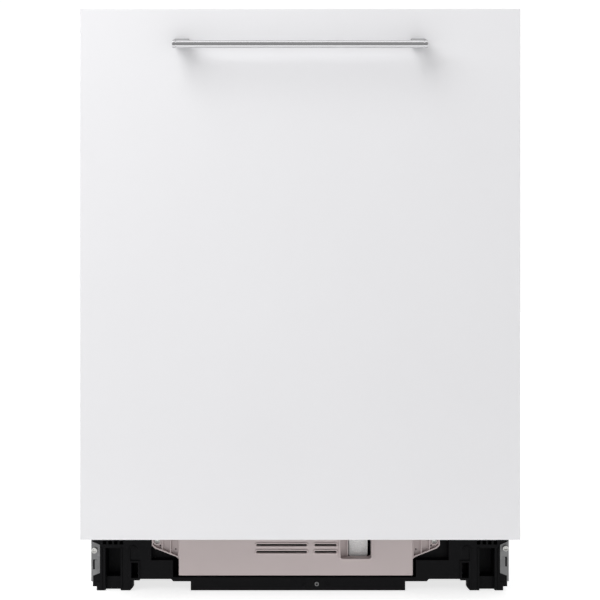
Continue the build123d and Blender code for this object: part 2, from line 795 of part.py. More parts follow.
# ---------------------------------------------------------------- kick cover
cover_front = y_base - 3.0
cover_skin = 2.5
cover_back = y_base + 9.0
louvre_rows = (56.4, 66.3, 76.2)
louvre_height = 3.0
louvre_rim = 2.0
louvre_rise = 1.4
louvre_spans = ((-62.4, 10.0), (20.8, 52.3))
window = ((58.0, 101.7), (47.2, 82.0))
window_rim = 2.6
window_rise = 2.0
cover_left, cover_right = kick_middle - kick_half, kick_middle + kick_half
with BuildPart() as kick_cover:
    block((cover_left, cover_right), (cover_front, cover_back), (kick_low, kick_top))
    fillet(kick_cover.edges().filter_by(Axis.Z).group_by(Axis.Y)[0], 2)
    fillet(kick_cover.edges().group_by(Axis.Y)[0].filter_by(Axis.X), 1.2)
    block(
        (cover_left + cover_skin, cover_right - cover_skin),
        (cover_front + cover_skin, cover_back + 1),
        (kick_low + cover_skin, kick_top - cover_skin),
        Mode.SUBTRACT,
    )
    for side in (-1, 1):
        edge = side * kick_half + kick_middle
        tip = edge + side * kick_ear
        outline = (
            (edge, 44.8),
            (edge + side * 4, 48.2),
            (edge + side * 34, 60.0),
            (tip, 64.5),
            (tip, kick_top),
            (edge, kick_top),
        )
        with BuildSketch(Plane.XZ.offset(-(cover_back - 2))) as ear_plate:
            with BuildLine():
                Polyline(*outline, close=True)
            make_face()
        extrude(amount=-2)
        with BuildSketch(Plane.XZ.offset(-(cover_front + 4))) as ear_rim:
            with BuildLine():
                Polyline(*outline, close=True)
            make_face()
            offset(amount=-1.7, kind=Kind.INTERSECTION, mode=Mode.SUBTRACT)
        extrude(amount=-(cover_back - cover_front - 4))
        for rib, low in ((12.5, 52.0), (24.2, 56.5)):
            rib_x = edge + side * rib
            block(about(rib_x, 1.5), (cover_front + 5, cover_back), (low, kick_top - 1))
        rod("Y", (cover_front + 6, cover_back), (edge + side * 31.5, 70.4), 6.2)
        rod("Y", (cover_front + 5, cover_front + 8.5), (edge + side * 31.5, 70.4), 4.6, Mode.SUBTRACT)
        rod("Y", (cover_front + 5, cover_back + 1), (edge + side * 31.5, 70.4), 2.0, Mode.SUBTRACT)
        for hole, height in ((5.4, 57.5), (27.5, 63.0)):
            rod("Y", (cover_back - 3, cover_back + 1), (edge + side * hole, height), 1.2, Mode.SUBTRACT)
    # louvres: slots in raised, rounded rims
    for low, high in louvre_spans:
        for row in louvre_rows:
            with BuildSketch(Plane.XZ.offset(-(cover_front - louvre_rise))) as rim:
                with Locations(((low + high) / 2, row)):
                    SlotOverall(high - low + 2 * louvre_rim, louvre_height + 2 * louvre_rim)
            extrude(amount=-(louvre_rise + 1))
            with BuildSketch(Plane.XZ.offset(-(cover_front - louvre_rise - 1))) as slot:
                with Locations(((low + high) / 2, row)):
                    SlotOverall(high - low, louvre_height)
            extrude(amount=-(louvre_rise + 6), mode=Mode.SUBTRACT)
    louvre_faces = kick_cover.faces().sort_by(Axis.Y)[:len(louvre_rows) * len(louvre_spans)]
    fillet(louvre_faces.edges(), louvre_rim * 0.45)
    # window on the leak float, with a raised rim and a shallow pocket beside it
    (window_left, window_right), (window_low, window_high) = window
    window_centre = ((window_left + window_right) / 2, (window_low + window_high) / 2)
    window_size = (window_right - window_left, window_high - window_low)
    with BuildSketch(Plane.XZ.offset(-(cover_front - window_rise))) as window_rim_face:
        with Locations(window_centre):
            RectangleRounded(window_size[0] + 2 * window_rim, window_size[1] + 2 * window_rim, 6)
    extrude(amount=-(cover_back - cover_front + window_rise))
    with BuildSketch(Plane.XZ.offset(-(cover_front - window_rise - 1))) as window_cut:
        with Locations(window_centre):
            RectangleRounded(*window_size, 3.5)
    extrude(amount=-(cover_back - cover_front + window_rise + 2), mode=Mode.SUBTRACT)
    fillet(kick_cover.faces().sort_by(Axis.Y)[0].edges(), window_rim * 0.45)
    pocket_edge = window_left + 9.5
    block((window_left - 1, pocket_edge), (cover_back - 2, cover_back), (window_low - 1, window_high + 1))
    block((pocket_edge, pocket_edge + 1.5), (cover_back - 6, cover_back), (window_low - 1, window_high + 1))
pieces["kick_cover"] = kick_cover

with BuildPart() as case_screws:
    # two that hold the side panels and two that hold the kick cover, each with a cross slot
    for side in (-1, 1):
        panel_screw = (side * screw_x, screw_z[side])
        cover_screw = (side * (kick_half + 31.5) + kick_middle, 70.4)
        for place, head, head_radius, length in (
            (panel_screw, side_front - 2.6, 4.1, 12.0),
            (cover_screw, cover_front + 6.0, 3.6, 11.0),
        ):
            rod("Y", (head, head + 2.5), place, head_radius)
            rod("Y", (head + 2.5, head + length), place, 1.6)
            with BuildSketch(Plane.XZ.offset(-(head + 1.2))) as cross:
                with Locations(place):
                    Rectangle(4.2, 1.1)
                    Rectangle(1.1, 4.2)
            extrude(amount=2, mode=Mode.SUBTRACT)
pieces["case_screws"] = case_screws

# ---------------------------------------------------------------- door hinge
bracket_low = base_low_top + 1.0
with BuildPart() as hinge_brackets:
    for side in (-1, 1):
        plate = across(side, bracket_x, bracket_x + bracket_sheet)
        with BuildSketch(Plane.YZ.offset(plate[0])) as bracket_side:
            with BuildLine():
                Polyline(
                    (hinge_y - 2, hinge_z - 9),
                    (y_base + 2, bracket_low),
                    (y_base + 88, bracket_low),
                    (y_base + 88, bracket_low + 34),
                    (y_base + 6, bracket_low + 34),
                    (hinge_y - 2, hinge_z + 9),
                    close=True,
                )
            make_face()
        extrude(amount=bracket_sheet)
        rod("X", plate, (hinge_y, hinge_z), 9)
        rod(
            "X",
            across(side, bracket_x, bracket_x + bracket_sheet + arm_gap + arm_sheet + 0.2),
            (hinge_y, hinge_z),
            hinge_pin_diameter / 2,
        )
pieces["hinge_brackets"] = hinge_brackets

arm_near = bracket_x + bracket_sheet + arm_gap
tail_y = hinge_y + 34.0
tail_z = hinge_z - 6.0
with BuildPart() as hinge_arms:
    for side in (-1, 1):
        plate = across(side, arm_near, arm_near + arm_sheet)
        with BuildSketch(Plane.YZ.offset(plate[0])) as arm_side:
            with BuildLine():
                Polyline(
                    (hinge_y - 13, hinge_z + 6),
                    (hinge_y - 4, hinge_z - 9),
                    (tail_y + 4, tail_z - 5),
                    (tail_y + 5, tail_z + 5),
                    (hinge_y + 8, hinge_z + 8),
                    (hinge_y + 4, hinge_z + 30),
                    (hinge_y + 4, hinge_z + 200),
                    (hinge_y - 13, hinge_z + 200),
                    close=True,
                )
            make_face()
            with Locations((hinge_y, hinge_z)):
                Circle(hinge_pin_diameter / 2 + running_clearance, mode=Mode.SUBTRACT)
            with Locations((tail_y, tail_z)):
                Circle(2.2, mode=Mode.SUBTRACT)
        extrude(amount=arm_sheet)
pieces["hinge_arms"] = hinge_arms

spring_radius = 7.0
spring_front = y_base + 120.0
spring_back = y_base + 320.0
spring_z = tub_floor - 28.0
spring_x = half_width - side_gap / 2 - 1.5
with BuildPart() as balance_springs:
    for side in (-1, 1):
        rod("Y", (spring_front, spring_back), (side * spring_x, spring_z), spring_radius)
        rod(
            "Y",
            (spring_front - 2, spring_back + 2),
            (side * spring_x, spring_z),
            spring_radius - 2.2,
            Mode.SUBTRACT,
        )
        rod("Y", (spring_back, spring_back + 6), (side * spring_x, spring_z), spring_radius)
pieces["balance_springs"] = balance_springs

# ---------------------------------------------------------------- door
handle_z = panel_top - 57.3
post_screw_z = handle_z + 10.5
door_low = panel_bottom + 5.0
door_high = body_height - 9.0
door_half = half_width - 2.0
fascia_low = tub_ceiling - 18.0
fascia_top = body_height - 7.0
fascia_wall = 2.5
panel_screw_heights = (door_low + 200.0, door_low + 540.0)
with BuildPart() as door_outer_sheet:
    block((-door_half, door_half), (y_door, y_door + 30), (door_low, fascia_low + 6))
    block(
        (-door_half + sheet, door_half - sheet),
        (y_door + sheet, y_door + 31),
        (door_low + sheet, fascia_low + 7),
        Mode.SUBTRACT,
    )
    for side in (-1, 1):
        for height in panel_screw_heights:
            rod("Y", (y_door - 1, y_door + 2), (side * (door_half - 20), height), 2.0, Mode.SUBTRACT)
        rod("Y", (y_door - 1, y_door + 2), (side * handle_spacing / 2, post_screw_z), 6.0, Mode.SUBTRACT)
        # way for the hinge through the sheet's lower flange
        block(
            across(side, bracket_x - 3, door_half - sheet),
            (y_door + sheet, y_door + 31),
            (door_low - 1, door_low + 2),
            Mode.SUBTRACT,
        )
pieces["door_outer_sheet"] = door_outer_sheet

liner_half = bracket_x - 1.5
bulge_half = tub_half - 20.0
bulge_low = tub_floor + 6.0
bulge_high = fascia_low - 8.0
dispenser = ((-112.0, 108.0), (tub_floor + 206.0, tub_floor + 318.0))
with BuildPart() as liner_hollow:
    block(
        (-bulge_half + sheet, bulge_half - sheet),
        (y_liner - 3, y_liner + liner_bulge - sheet),
        (bulge_low + sheet, bulge_high - sheet),
    )
    fillet(liner_hollow.edges().filter_by(Axis.Y), 17)
    fillet(liner_hollow.faces().sort_by(Axis.Y)[-1].edges(), 6)

with BuildPart() as door_liner:
    block((-liner_half, liner_half), (y_liner - 20, y_liner), (door_low + 4, fascia_low - 0.2))
    block((-bulge_half, bulge_half), (y_liner - 1, y_liner + liner_bulge), (bulge_low, bulge_high))
    fillet(door_liner.edges().filter_by(Axis.Y).group_by(Axis.Y)[-1], 18)
    fillet(door_liner.faces().sort_by(Axis.Y)[-1].edges(), 7)
    block(
        (-liner_half + sheet, liner_half - sheet),
        (y_liner - 21, y_liner - sheet),
        (door_low + 3, fascia_low - 0.2 - sheet),
        Mode.SUBTRACT,
    )
    add(liner_hollow.part, mode=Mode.SUBTRACT)
    block(dispenser[0], (y_liner - 5, y_liner + 30), dispenser[1], Mode.SUBTRACT)
pieces["door_liner"] = door_liner

cup_span = (dispenser[0][0] + 12, dispenser[0][0] + 74)
rinse_x = dispenser[0][1] - 34.0
rinse_z = dispenser[1][0] + 52.0
rinse_radius = 20.0
dispenser_face = y_liner + liner_bulge + 2.0
rinse_hinge_y = dispenser_face + 2.5
rinse_hinge_z = rinse_z + rinse_radius + 3.0
with BuildPart() as dispenser_body:
    gap = 0.2
    block(
        (dispenser[0][0] + gap, dispenser[0][1] - gap),
        (y_liner - 24, y_liner + liner_bulge + 0.2),
        (dispenser[1][0] + gap, dispenser[1][1] - gap),
    )
    block(
        (dispenser[0][0] - 6, dispenser[0][1] + 6),
        (y_liner + liner_bulge + 0.2, dispenser_face),
        (dispenser[1][0] - 6, dispenser[1][1] + 6),
    )
    fillet(dispenser_body.faces().sort_by(Axis.Y)[-1].edges().filter_by(Axis.X), 1.2)
    block(
        cup_span,
        (y_liner - 14, dispenser_face + 1),
        (dispenser[1][0] + 22, dispenser[1][1] - 22),
        Mode.SUBTRACT,
    )
    rod("Y", (y_liner - 12, dispenser_face + 1), (rinse_x, rinse_z), rinse_radius - 7, Mode.SUBTRACT)
    # hinge ears of the rinse-aid cap
    for side in (-1, 1):
        block(
            about(rinse_x + side * 9, 3),
            (dispenser_face - 1, dispenser_face + 4.8),
            about(rinse_hinge_z, 6),
        )
    rod("X", about(rinse_x, 22), (rinse_hinge_y, rinse_hinge_z), 1.2 + running_clearance, Mode.SUBTRACT)
pieces["dispenser_body"] = dispenser_body

with BuildPart() as detergent_lid:
    block(
        (cup_span[0] - 5, cup_span[1] + 5),
        (dispenser_face + clearance, dispenser_face + 4),
        (dispenser[1][0] + 16, dispenser[1][1] - 16),
    )
    fillet(detergent_lid.edges().filter_by(Axis.Y), 5)
    block(
        about((cup_span[0] + cup_span[1]) / 2, 26),
        (dispenser_face + 3, dispenser_face + 7),
        about((dispenser[1][0] + dispenser[1][1]) / 2, 6),
    )
pieces["detergent_lid"] = detergent_lid

with BuildPart() as rinse_aid_cap:
    rod("Y", (dispenser_face + clearance, dispenser_face + 4.5), (rinse_x, rinse_z), rinse_radius)
    block(about(rinse_x, 14), (dispenser_face + clearance, dispenser_face + 4.5), (rinse_z, rinse_hinge_z))
    rod("X", about(rinse_x, 14), (rinse_hinge_y, rinse_hinge_z), 2.2)
    rod("X", about(rinse_x, 20), (rinse_hinge_y, rinse_hinge_z), 1.2)
    block(
        about(rinse_x, 12),
        (dispenser_face + 4, dispenser_face + 6.5),
        (rinse_z - rinse_radius - 4, rinse_z - rinse_radius + 4),
    )
pieces["rinse_aid_cap"] = rinse_aid_cap

lock_half = 24.0
with BuildPart() as control_fascia:
    block((-door_half, door_half), (y_door + sheet + 0.3, y_liner), (fascia_low + 6.2, fascia_top))
    fillet(control_fascia.edges().filter_by(Axis.X).group_by(Axis.Z)[-1], 2)
    block(
        (-door_half + fascia_wall, door_half - fascia_wall),
        (y_door + sheet + 0.3 + fascia_wall, y_liner - fascia_wall),
        (fascia_low, fascia_top - fascia_wall),
        Mode.SUBTRACT,
    )
    block(
        (-lock_half, lock_half),
        (y_liner - 10, y_liner + 1),
        (fascia_low, fascia_top - 2 * fascia_wall),
        Mode.SUBTRACT,
    )
    button_y = y_door + 26.0
    button_radius = 7.0
    button_places = {
        "power_button": -half_width + 52,
        "program_button": half_width - 88,
        "start_button": half_width - 52,
    }
    for place in button_places.values():
        rod("Z", (fascia_top - 4, fascia_top + 1), (place, button_y), button_radius + 0.25, Mode.SUBTRACT)
    display = (-44.0, 44.0)
    block(display, about(button_y, 22), (fascia_top - 1.2, fascia_top + 1), Mode.SUBTRACT)
pieces["control_fascia"] = control_fascia

with BuildPart() as display_window:
    block((display[0] + 0.1, display[1] - 0.1), about(button_y, 21.8), (fascia_top - 1.2, fascia_top - 0.1))
pieces["display_window"] = display_window

for name, place in button_places.items():
    with BuildPart() as button:
        rod("Z", (fascia_top - 6, fascia_top + 1.2), (place, button_y), button_radius)
        fillet(button.edges().group_by(Axis.Z)[-1], 0.8)
        rod("Z", (fascia_top - 6, fascia_top - 4.2), (place, button_y), button_radius + 1.6)
    pieces[name] = button

with BuildPart() as door_lock:
    block(
        (-lock_half + 1, lock_half - 1),
        (y_liner - 42, y_liner - 0.5),
        (fascia_low + 1, fascia_top - 2 * fascia_wall - 0.5),
    )
    block((-14, 14), (y_liner - 16, y_liner + 1), (strike_low - 2, strike_low + 20), Mode.SUBTRACT)
pieces["door_lock"] = door_lock

with BuildPart() as furniture_panel:
    block(about(0, panel_width), (y_panel, y_door), (panel_bottom, panel_top))
    fillet(furniture_panel.edges().group_by(Axis.Y)[0], 0.8)
    for side in (-1, 1):
        rod("Y", (y_panel - 1, y_door + 1), (side * handle_spacing / 2, post_screw_z), 2.2, Mode.SUBTRACT)
        for height in panel_screw_heights:
            rod("Y", (y_door - 12, y_door + 1), (side * (door_half - 20), height), 1.9, Mode.SUBTRACT)
pieces["furniture_panel"] = furniture_panel

bar_y = y_panel - handle_projection + handle_bar_diameter / 2
with BuildPart() as handle_bar:
    rod("X", about(0, handle_length), (bar_y, handle_z), handle_bar_diameter / 2)
    fillet(handle_bar.edges().group_by(Axis.X)[0] + handle_bar.edges().group_by(Axis.X)[-1], 1.0)
    for side in (-1, 1):
        # ring groove beside the end cap
        groove_x = side * (handle_length / 2 - 5.0)
        rod("X", about(groove_x, 1.5), (bar_y, handle_z), handle_bar_diameter / 2 + 1, Mode.SUBTRACT)
        rod("X", about(groove_x, 1.9), (bar_y, handle_z), handle_bar_diameter / 2 - 1)
pieces["handle_bar"] = handle_bar

post_width = 19.0
post_middle = (handle_length + 1.0 - post_width) / 2  # outer faces just past the bar's ends
post_screw_depth = 10.0
with BuildPart() as handle_posts:
    for side in (-1, 1):
        with BuildSketch(Plane.YZ.offset(side * post_middle - post_width / 2)) as post_side:
            with BuildLine():
                Polyline(
                    (y_panel, handle_z + 16.2),
                    (y_panel, handle_z + 6.0),
                    (bar_y, handle_z - 4.0),
                    (bar_y, handle_z + 4.6),
                    (y_panel - 2, handle_z + 16.2),
                    close=True,
                )
            make_face()
            with Locations((bar_y, handle_z)):
                Circle(handle_bar_diameter / 2 + 0.02, mode=Mode.SUBTRACT)
        extrude(amount=post_width)
    for side in (-1, 1):
        screw = (side * handle_spacing / 2, post_screw_z)
        rod("Y", (y_panel - post_screw_depth - 1, y_panel + 1), screw, 2.0, Mode.SUBTRACT)
pieces["handle_posts"] = handle_posts

with BuildPart() as front_screws:
    # two through the panel into the handle's posts, four from the door sheet into the panel
    for side in (-1, 1):
        post_screw = (side * handle_spacing / 2, post_screw_z)
        rod("Y", (y_panel - post_screw_depth, y_door + 1), post_screw, 1.9)
        rod("Y", (y_door + 0.1, y_door + 3), post_screw, 4.2)
        for height in panel_screw_heights:
            rod("Y", (y_door - 11, y_door + sheet + 1), (side * (door_half - 20), height), 1.8)
            rod("Y", (y_door + sheet + 0.1, y_door + sheet + 2.6), (side * (door_half - 20), height), 3.8)
pieces["front_screws"] = front_screws

# ---------------------------------------------------------------- racks
rack_half = tub_half - 17.0
rack_front = y_liner + liner_bulge + 19.0
rack_back = tub_back - 24.0
weld = 0.1  # gap that keeps the flat grids of a rack separate
runner_width = 9.0
rail_wall = 2.0
slide_far = seal_half - seal_width - clearance


def grid(x, y, z, pitch, bar=rack_bar):
    """A flat grid of bars, as thick as the shortest of its three spans."""
    spans = {"X": x, "Y": y, "Z": z}
    flat = min(spans, key=lambda axis: spans[axis][1] - spans[axis][0])
    plane = {"X": Plane.YZ.offset(x[0]), "Y": Plane.XZ.offset(-y[1]), "Z": Plane.XY.offset(z[0])}[flat]
    middles, sizes, counts, steps = [], [], [], []
    for low, high in (span for axis, span in spans.items() if axis != flat):
        middles.append((low + high) / 2)
        sizes.append(high - low)
        counts.append(max(1, round((high - low - bar) / pitch)))
        steps.append((high - low - bar) / counts[-1])
    with BuildSketch(plane) as net:
        with Locations(tuple(middles)):
            Rectangle(*sizes)
            with GridLocations(*steps, *counts):
                Rectangle(steps[0] - bar, steps[1] - bar, mode=Mode.SUBTRACT)
    extrude(net.sketch, amount=spans[flat][1] - spans[flat][0])


def basket(half, front, back, low, high, front_high, pitch, bar=rack_bar):
    """Five flat grids that make an open basket."""
    grid((-half, half), (front, back), (low, low + bar), pitch, bar)
    for y in (front, back - bar):
        top = front_high if y == front else high
        grid((-half, half), (y, y + bar), (low + bar + weld, top), pitch, bar)
    for side in (-1, 1):
        grid(
            across(side, half - bar, half),
            (front + bar + weld, back - bar - weld),
            (low + bar + weld, front_high),
            pitch,
            bar,
        )


lower_low = tub_floor + 38.0
lower_high = lower_low + 132.0
wheel_z = tub_floor + clearance + wheel_diameter / 2
wheel_x = rack_half - 9.0
wheel_front = y_tub + 153.0
wheel_back = rack_back - 62.0
axle_diameter = 5.0
with BuildPart() as lower_rack:
    basket(rack_half, rack_front, rack_back, lower_low, lower_high, lower_high - 18, 46.0)
    for side in (-1, 1):
        for wheel_y in (wheel_front, wheel_back):
            # hanger and axle of one wheel
            hanger = across(side, wheel_x - wheel_width / 2 - 4.5, wheel_x - wheel_width / 2 - 1)
            block(hanger, about(wheel_y, 14), (wheel_z - 6, lower_low - weld))
            rod(
                "X",
                across(side, wheel_x - wheel_width / 2 - 2, wheel_x + wheel_width / 2 + 1),
                (wheel_y, wheel_z),
                axle_diameter / 2,
            )
pieces["lower_rack"] = lower_rack

for word, wheel_y in (("front", wheel_front), ("rear", wheel_back)):
    with BuildPart() as wheels:
        for side in (-1, 1):
            rod("X", about(side * wheel_x, wheel_width), (wheel_y, wheel_z), wheel_diameter / 2)
            rod(
                "X",
                about(side * wheel_x, wheel_width + 1),
                (wheel_y, wheel_z),
                axle_diameter / 2 + running_clearance,
                Mode.SUBTRACT,
            )
            for spoke in range(5):
                angle = radians(72 * spoke)
                rod(
                    "X",
                    about(side * wheel_x, wheel_width + 1),
                    (wheel_y + 9.5 * cos(angle), wheel_z + 9.5 * sin(angle)),
                    3.2,
                    Mode.SUBTRACT,
                )
    pieces[f"lower_wheels_{word}"] = wheels

tine_y = rack_back - 120.0
tine_low = lower_low + rack_bar + 1.2
tine_span = (-rack_half + 60, rack_half - 60)
with BuildPart() as folding_tines:
    rod("X", tine_span, (tine_y, tine_low + 2.0), 2.0)
    tine_count = 13
    for number in range(tine_count):
        tine_x = tine_span[0] + 8 + number * (tine_span[1] - tine_span[0] - 16) / (tine_count - 1)
        block(about(tine_x, 3.4), about(tine_y, 3.4), (tine_low + 2.0, tine_low + 84))
pieces["folding_tines"] = folding_tines

upper_low = tub_ceiling - 288.0
upper_high = upper_low + 118.0
upper_half = tub_half - 27.0
upper_front = y_liner + liner_bulge + 14.0
upper_back = tub_back - 40.0
slide_z = (upper_low + 60.0, upper_low + 84.0)
middle_arm_low = middle_port_z - 21.0


def runners(half, z):
    """A runner along each side of a rack."""
    for side in (-1, 1):
        block(across(side, half + weld, half + runner_width), (upper_front + 8, upper_back - 6), z)


def rails(half, z):
    """The fixed rails of a rack on the tub's walls, open to the inside."""
    near = half + runner_width + clearance
    with BuildPart() as fixed:
        for side in (-1, 1):
            block(
                across(side, near, tub_half - 0.2),
                (upper_front + 14, upper_back + 8),
                (z[0] - rail_wall, z[1] + rail_wall),
            )
            block(
                across(side, near - 1, slide_far + clearance),
                (upper_front + 13, upper_back + 9),
                z,
                Mode.SUBTRACT,
            )
    return fixed


def slides(half, z):
    """The middle members, which run in the rails at half the rack's speed."""
    near = half + runner_width + 2 * clearance
    far = slide_far
    with BuildPart() as middle:
        for side in (-1, 1):
            block(
                across(side, near, far),
                (upper_front + 15, upper_back + 7),
                (z[0] + clearance, z[1] - clearance),
            )
            block(
                across(side, near + 2, far + 1),
                (upper_front + 14, upper_back + 8),
                (z[0] + 4, z[1] - 4),
                Mode.SUBTRACT,
            )
    return middle


with BuildPart() as upper_rack:
    basket(upper_half, upper_front, upper_back, upper_low, upper_high, upper_high - 14, 44.0)
    # feed tube to the middle spray arm, docking on the rear pipe
    rod("Y", (tub_mid_y, riser_y - 18.5), (0, middle_port_z), 7.0)
    rod("Z", (middle_port_z - 6, upper_low - weld), (0, tub_mid_y), 9)

    # pin and nut that carry the middle spray arm
    rod("Z", (middle_arm_low - 4.5, middle_port_z - 5), (0, tub_mid_y), 6.0)
    rod("Z", (middle_arm_low - 4.5, middle_arm_low - 0.4), (0, tub_mid_y), 9.0)
    runners(upper_half, slide_z)
pieces["upper_rack"] = upper_rack
pieces["upper_spray_arm"] = spray_arm((0, tub_mid_y), 215.0, middle_arm_low, 6.3, 6)
pieces["upper_rack_slides"] = slides(upper_half, slide_z)
pieces["upper_rack_rails"] = rails(upper_half, slide_z)

shelf_x = -upper_half + rack_bar + 3.0
shelf_z = upper_high - 34.0
with BuildPart() as cup_shelf:
    grid((shelf_x, shelf_x + 84), (upper_front + 40, upper_back - 60), (shelf_z, shelf_z + rack_bar), 30.0)
pieces["cup_shelf"] = cup_shelf

tray_low = tub_ceiling - 92.0
tray_high = tray_low + 44.0
tray_half = tub_half - 27.0
tray_slide_z = (tray_low + 12.0, tray_low + 30.0)
with BuildPart() as cutlery_tray:
    basket(tray_half, upper_front + 2, upper_back, tray_low, tray_high, tray_high, 34.0, 3.0)
    runners(tray_half, tray_slide_z)
    block(about(0, 120), (upper_front - 4, upper_front + 2 - weld), (tray_high - 22, tray_high))
pieces["cutlery_tray"] = cutlery_tray

pieces["tray_slides"] = slides(tray_half, tray_slide_z)
pieces["tray_rails"] = rails(tray_half, tray_slide_z)

# ---------------------------------------------------------------- write one STEP for each piece
os.makedirs("parts", exist_ok=True)
for name, piece in pieces.items():
    piece.part.label = name
    export_step(piece.part, f"parts/{name}.step")
print(len(pieces), "pieces")
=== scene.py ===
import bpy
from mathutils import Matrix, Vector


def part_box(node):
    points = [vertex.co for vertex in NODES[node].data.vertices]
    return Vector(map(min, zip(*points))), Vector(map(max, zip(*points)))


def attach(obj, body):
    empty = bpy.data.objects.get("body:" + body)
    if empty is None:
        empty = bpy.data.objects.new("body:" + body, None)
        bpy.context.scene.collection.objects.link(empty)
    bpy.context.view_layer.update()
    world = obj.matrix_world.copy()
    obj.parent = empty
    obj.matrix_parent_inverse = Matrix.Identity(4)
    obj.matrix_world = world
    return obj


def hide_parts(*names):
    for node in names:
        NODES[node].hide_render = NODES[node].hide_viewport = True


bl_info = {
    "name": "Built-in Dishwasher",
    "version": (1, 0, 0),
    "blender": (4, 5, 0),
    "location": "View3D > Sidebar > Dishwasher",
    "description": "Finishes and detailed pieces of a built-in dishwasher, around its packed parts",
    "category": "Add Mesh",
}

from math import cos, pi, radians, sin

import bpy
from bpy.props import FloatProperty, FloatVectorProperty, PointerProperty
from mathutils import Vector

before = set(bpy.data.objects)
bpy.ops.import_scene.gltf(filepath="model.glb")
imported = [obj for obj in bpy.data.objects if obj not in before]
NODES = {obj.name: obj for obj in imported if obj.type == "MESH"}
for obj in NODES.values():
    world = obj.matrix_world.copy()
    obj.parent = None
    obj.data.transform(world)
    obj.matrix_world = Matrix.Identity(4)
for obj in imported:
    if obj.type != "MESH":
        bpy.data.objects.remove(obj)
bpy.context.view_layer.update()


# ---------------------------------------------------------------- sizes and colours
def colour(name, description, default):
    """A colour property without alpha."""
    return FloatVectorProperty(
        name=name, description=description, default=default, subtype="COLOR", min=0, max=1
    )


def length(name, description, default):
    """A length property in metres."""
    return FloatProperty(name=name, description=description, default=default, unit="LENGTH", min=0.0001)


def glow(name, description, default):
    """A brightness property."""
    return FloatProperty(name=name, description=description, default=default, min=0)


def power(name, description, default):
    """A lamp's power property in watts."""
    return FloatProperty(name=name, description=description, default=default, unit="POWER")


class StageSettings(bpy.types.PropertyGroup):
    """Room, lights and camera."""

    camera_distance: length("Camera distance", "From the furniture panel to the camera", 1.232)
    camera_height: length("Camera height", "Above the floor", 0.4162)
    lens: FloatProperty(
        name="Lens", description="Focal length on a 36 mm sensor", default=54.55, subtype="DISTANCE_CAMERA"
    )
    floor_colour: colour("Floor", "Pale floor", (0.45, 0.45, 0.45))
    floor_glow: glow("Floor glow", "Light that the lit floor adds", 0.75)
    key_power: power("Key light", "Soft light from the left", 56.0)
    fill_power: power("Fill light", "Soft light from the right and from behind", 2.5)
    front_wall: glow("Front wall", "Brightness of the surroundings ahead of the object", 0.32)
    rear_wall: glow("Rear wall", "Brightness of the surroundings behind the object", 1.04)
    dark_card: glow("Dark card", "Brightness that metal mirrors ahead", 0.36)
    bright_card: glow("Bright card", "Brightness that metal mirrors above", 1.35)


class FrontSettings(bpy.types.PropertyGroup):
    """Furniture panel and handle."""

    lacquer_colour: colour("Lacquer", "White of the furniture panel", (0.751, 0.749, 0.765))
    steel_colour: colour("Handle steel", "Brushed steel of the handle", (0.62, 0.62, 0.63))


class CaseSettings(bpy.types.PropertyGroup):
    """Base, kick cover and sheet metal."""

    black_colour: colour("Black moulding", "Base moulding", (0.0035, 0.0035, 0.0042))
    rose_colour: colour("Rose moulding", "Kick cover", (0.562, 0.487, 0.482))
    zinc_colour: colour("Galvanised sheet", "Side and rear panels", (0.19, 0.191, 0.193))
    stainless_colour: colour("Stainless sheet", "Tub and door liner", (0.55, 0.56, 0.57))
    grey_colour: colour("Grey plastic", "Spray arms, caps and wheels", (0.16, 0.165, 0.175))
    white_colour: colour("White plastic", "Softener and valve", (0.72, 0.72, 0.70))
    foam_colour: colour("White foam", "Leak float", (0.94, 0.94, 0.935))
    screw_colour: colour("Screws", "Screws, door strike and springs", (0.33, 0.33, 0.335))
    seal_colour: colour("Seal rubber", "Seal round the tub's opening", (0.02, 0.02, 0.022))
    felt_colour: colour("Felt", "Mat on top of the tub", (0.035, 0.035, 0.038))


class RackSettings(bpy.types.PropertyGroup):
    """Wire of the racks."""

    wire: length("Wire", "Diameter of the rack wire", 0.0032)
    rim: length("Rim wire", "Diameter of the rim wire", 0.0039)
    pitch: length("Pitch", "Distance between two wires", 0.026)
    corner: length("Corner", "Radius of a bend", 0.014)
    tray_wire: length("Tray wire", "Diameter of the cutlery tray's wire", 0.0024)
    tray_rim: length("Tray rim wire", "Diameter of the cutlery tray's rim wire", 0.0032)
    tray_pitch: length("Tray pitch", "Distance between two wires of the cutlery tray", 0.017)
    tray_corner: length("Tray corner", "Radius of a bend in the cutlery tray", 0.010)
    coat_colour: colour("Coating", "Nylon coating of the wire", (0.34, 0.35, 0.37))


# ---------------------------------------------------------------- material nodes
def blank(name, base, roughness, metallic=0.0):
    """A new material with its shader, and object coordinates to build on."""
    material = bpy.data.materials.new(name)
    material.use_nodes = True
    nodes = material.node_tree.nodes
    shader = nodes["Principled BSDF"]
    shader.inputs["Base Color"].default_value = (*base, 1)
    shader.inputs["Roughness"].default_value = roughness
    shader.inputs["Metallic"].default_value = metallic
    where = nodes.new("ShaderNodeTexCoord")
    return material, shader, where.outputs["Object"]


def stretch(material, source, scale):
    """Coordinates scaled along X, Y and Z."""
    mapping = material.node_tree.nodes.new("ShaderNodeMapping")
    mapping.inputs["Scale"].default_value = scale
    material.node_tree.links.new(source, mapping.inputs["Vector"])
    return mapping.outputs["Vector"]


def noise(material, source, scale, detail=3.0, roughness=0.5):
    """A noise pattern's value."""
    texture = material.node_tree.nodes.new("ShaderNodeTexNoise")
    texture.inputs["Scale"].default_value = scale
    texture.inputs["Detail"].default_value = detail
    texture.inputs["Roughness"].default_value = roughness
    material.node_tree.links.new(source, texture.inputs["Vector"])
    return texture.outputs["Fac"]


def cells(material, source, scale, feature, output):
    """A cell pattern's distance or colour."""
    texture = material.node_tree.nodes.new("ShaderNodeTexVoronoi")
    texture.feature = feature
    texture.inputs["Scale"].default_value = scale
    material.node_tree.links.new(source, texture.inputs["Vector"])
    return texture.outputs[output]


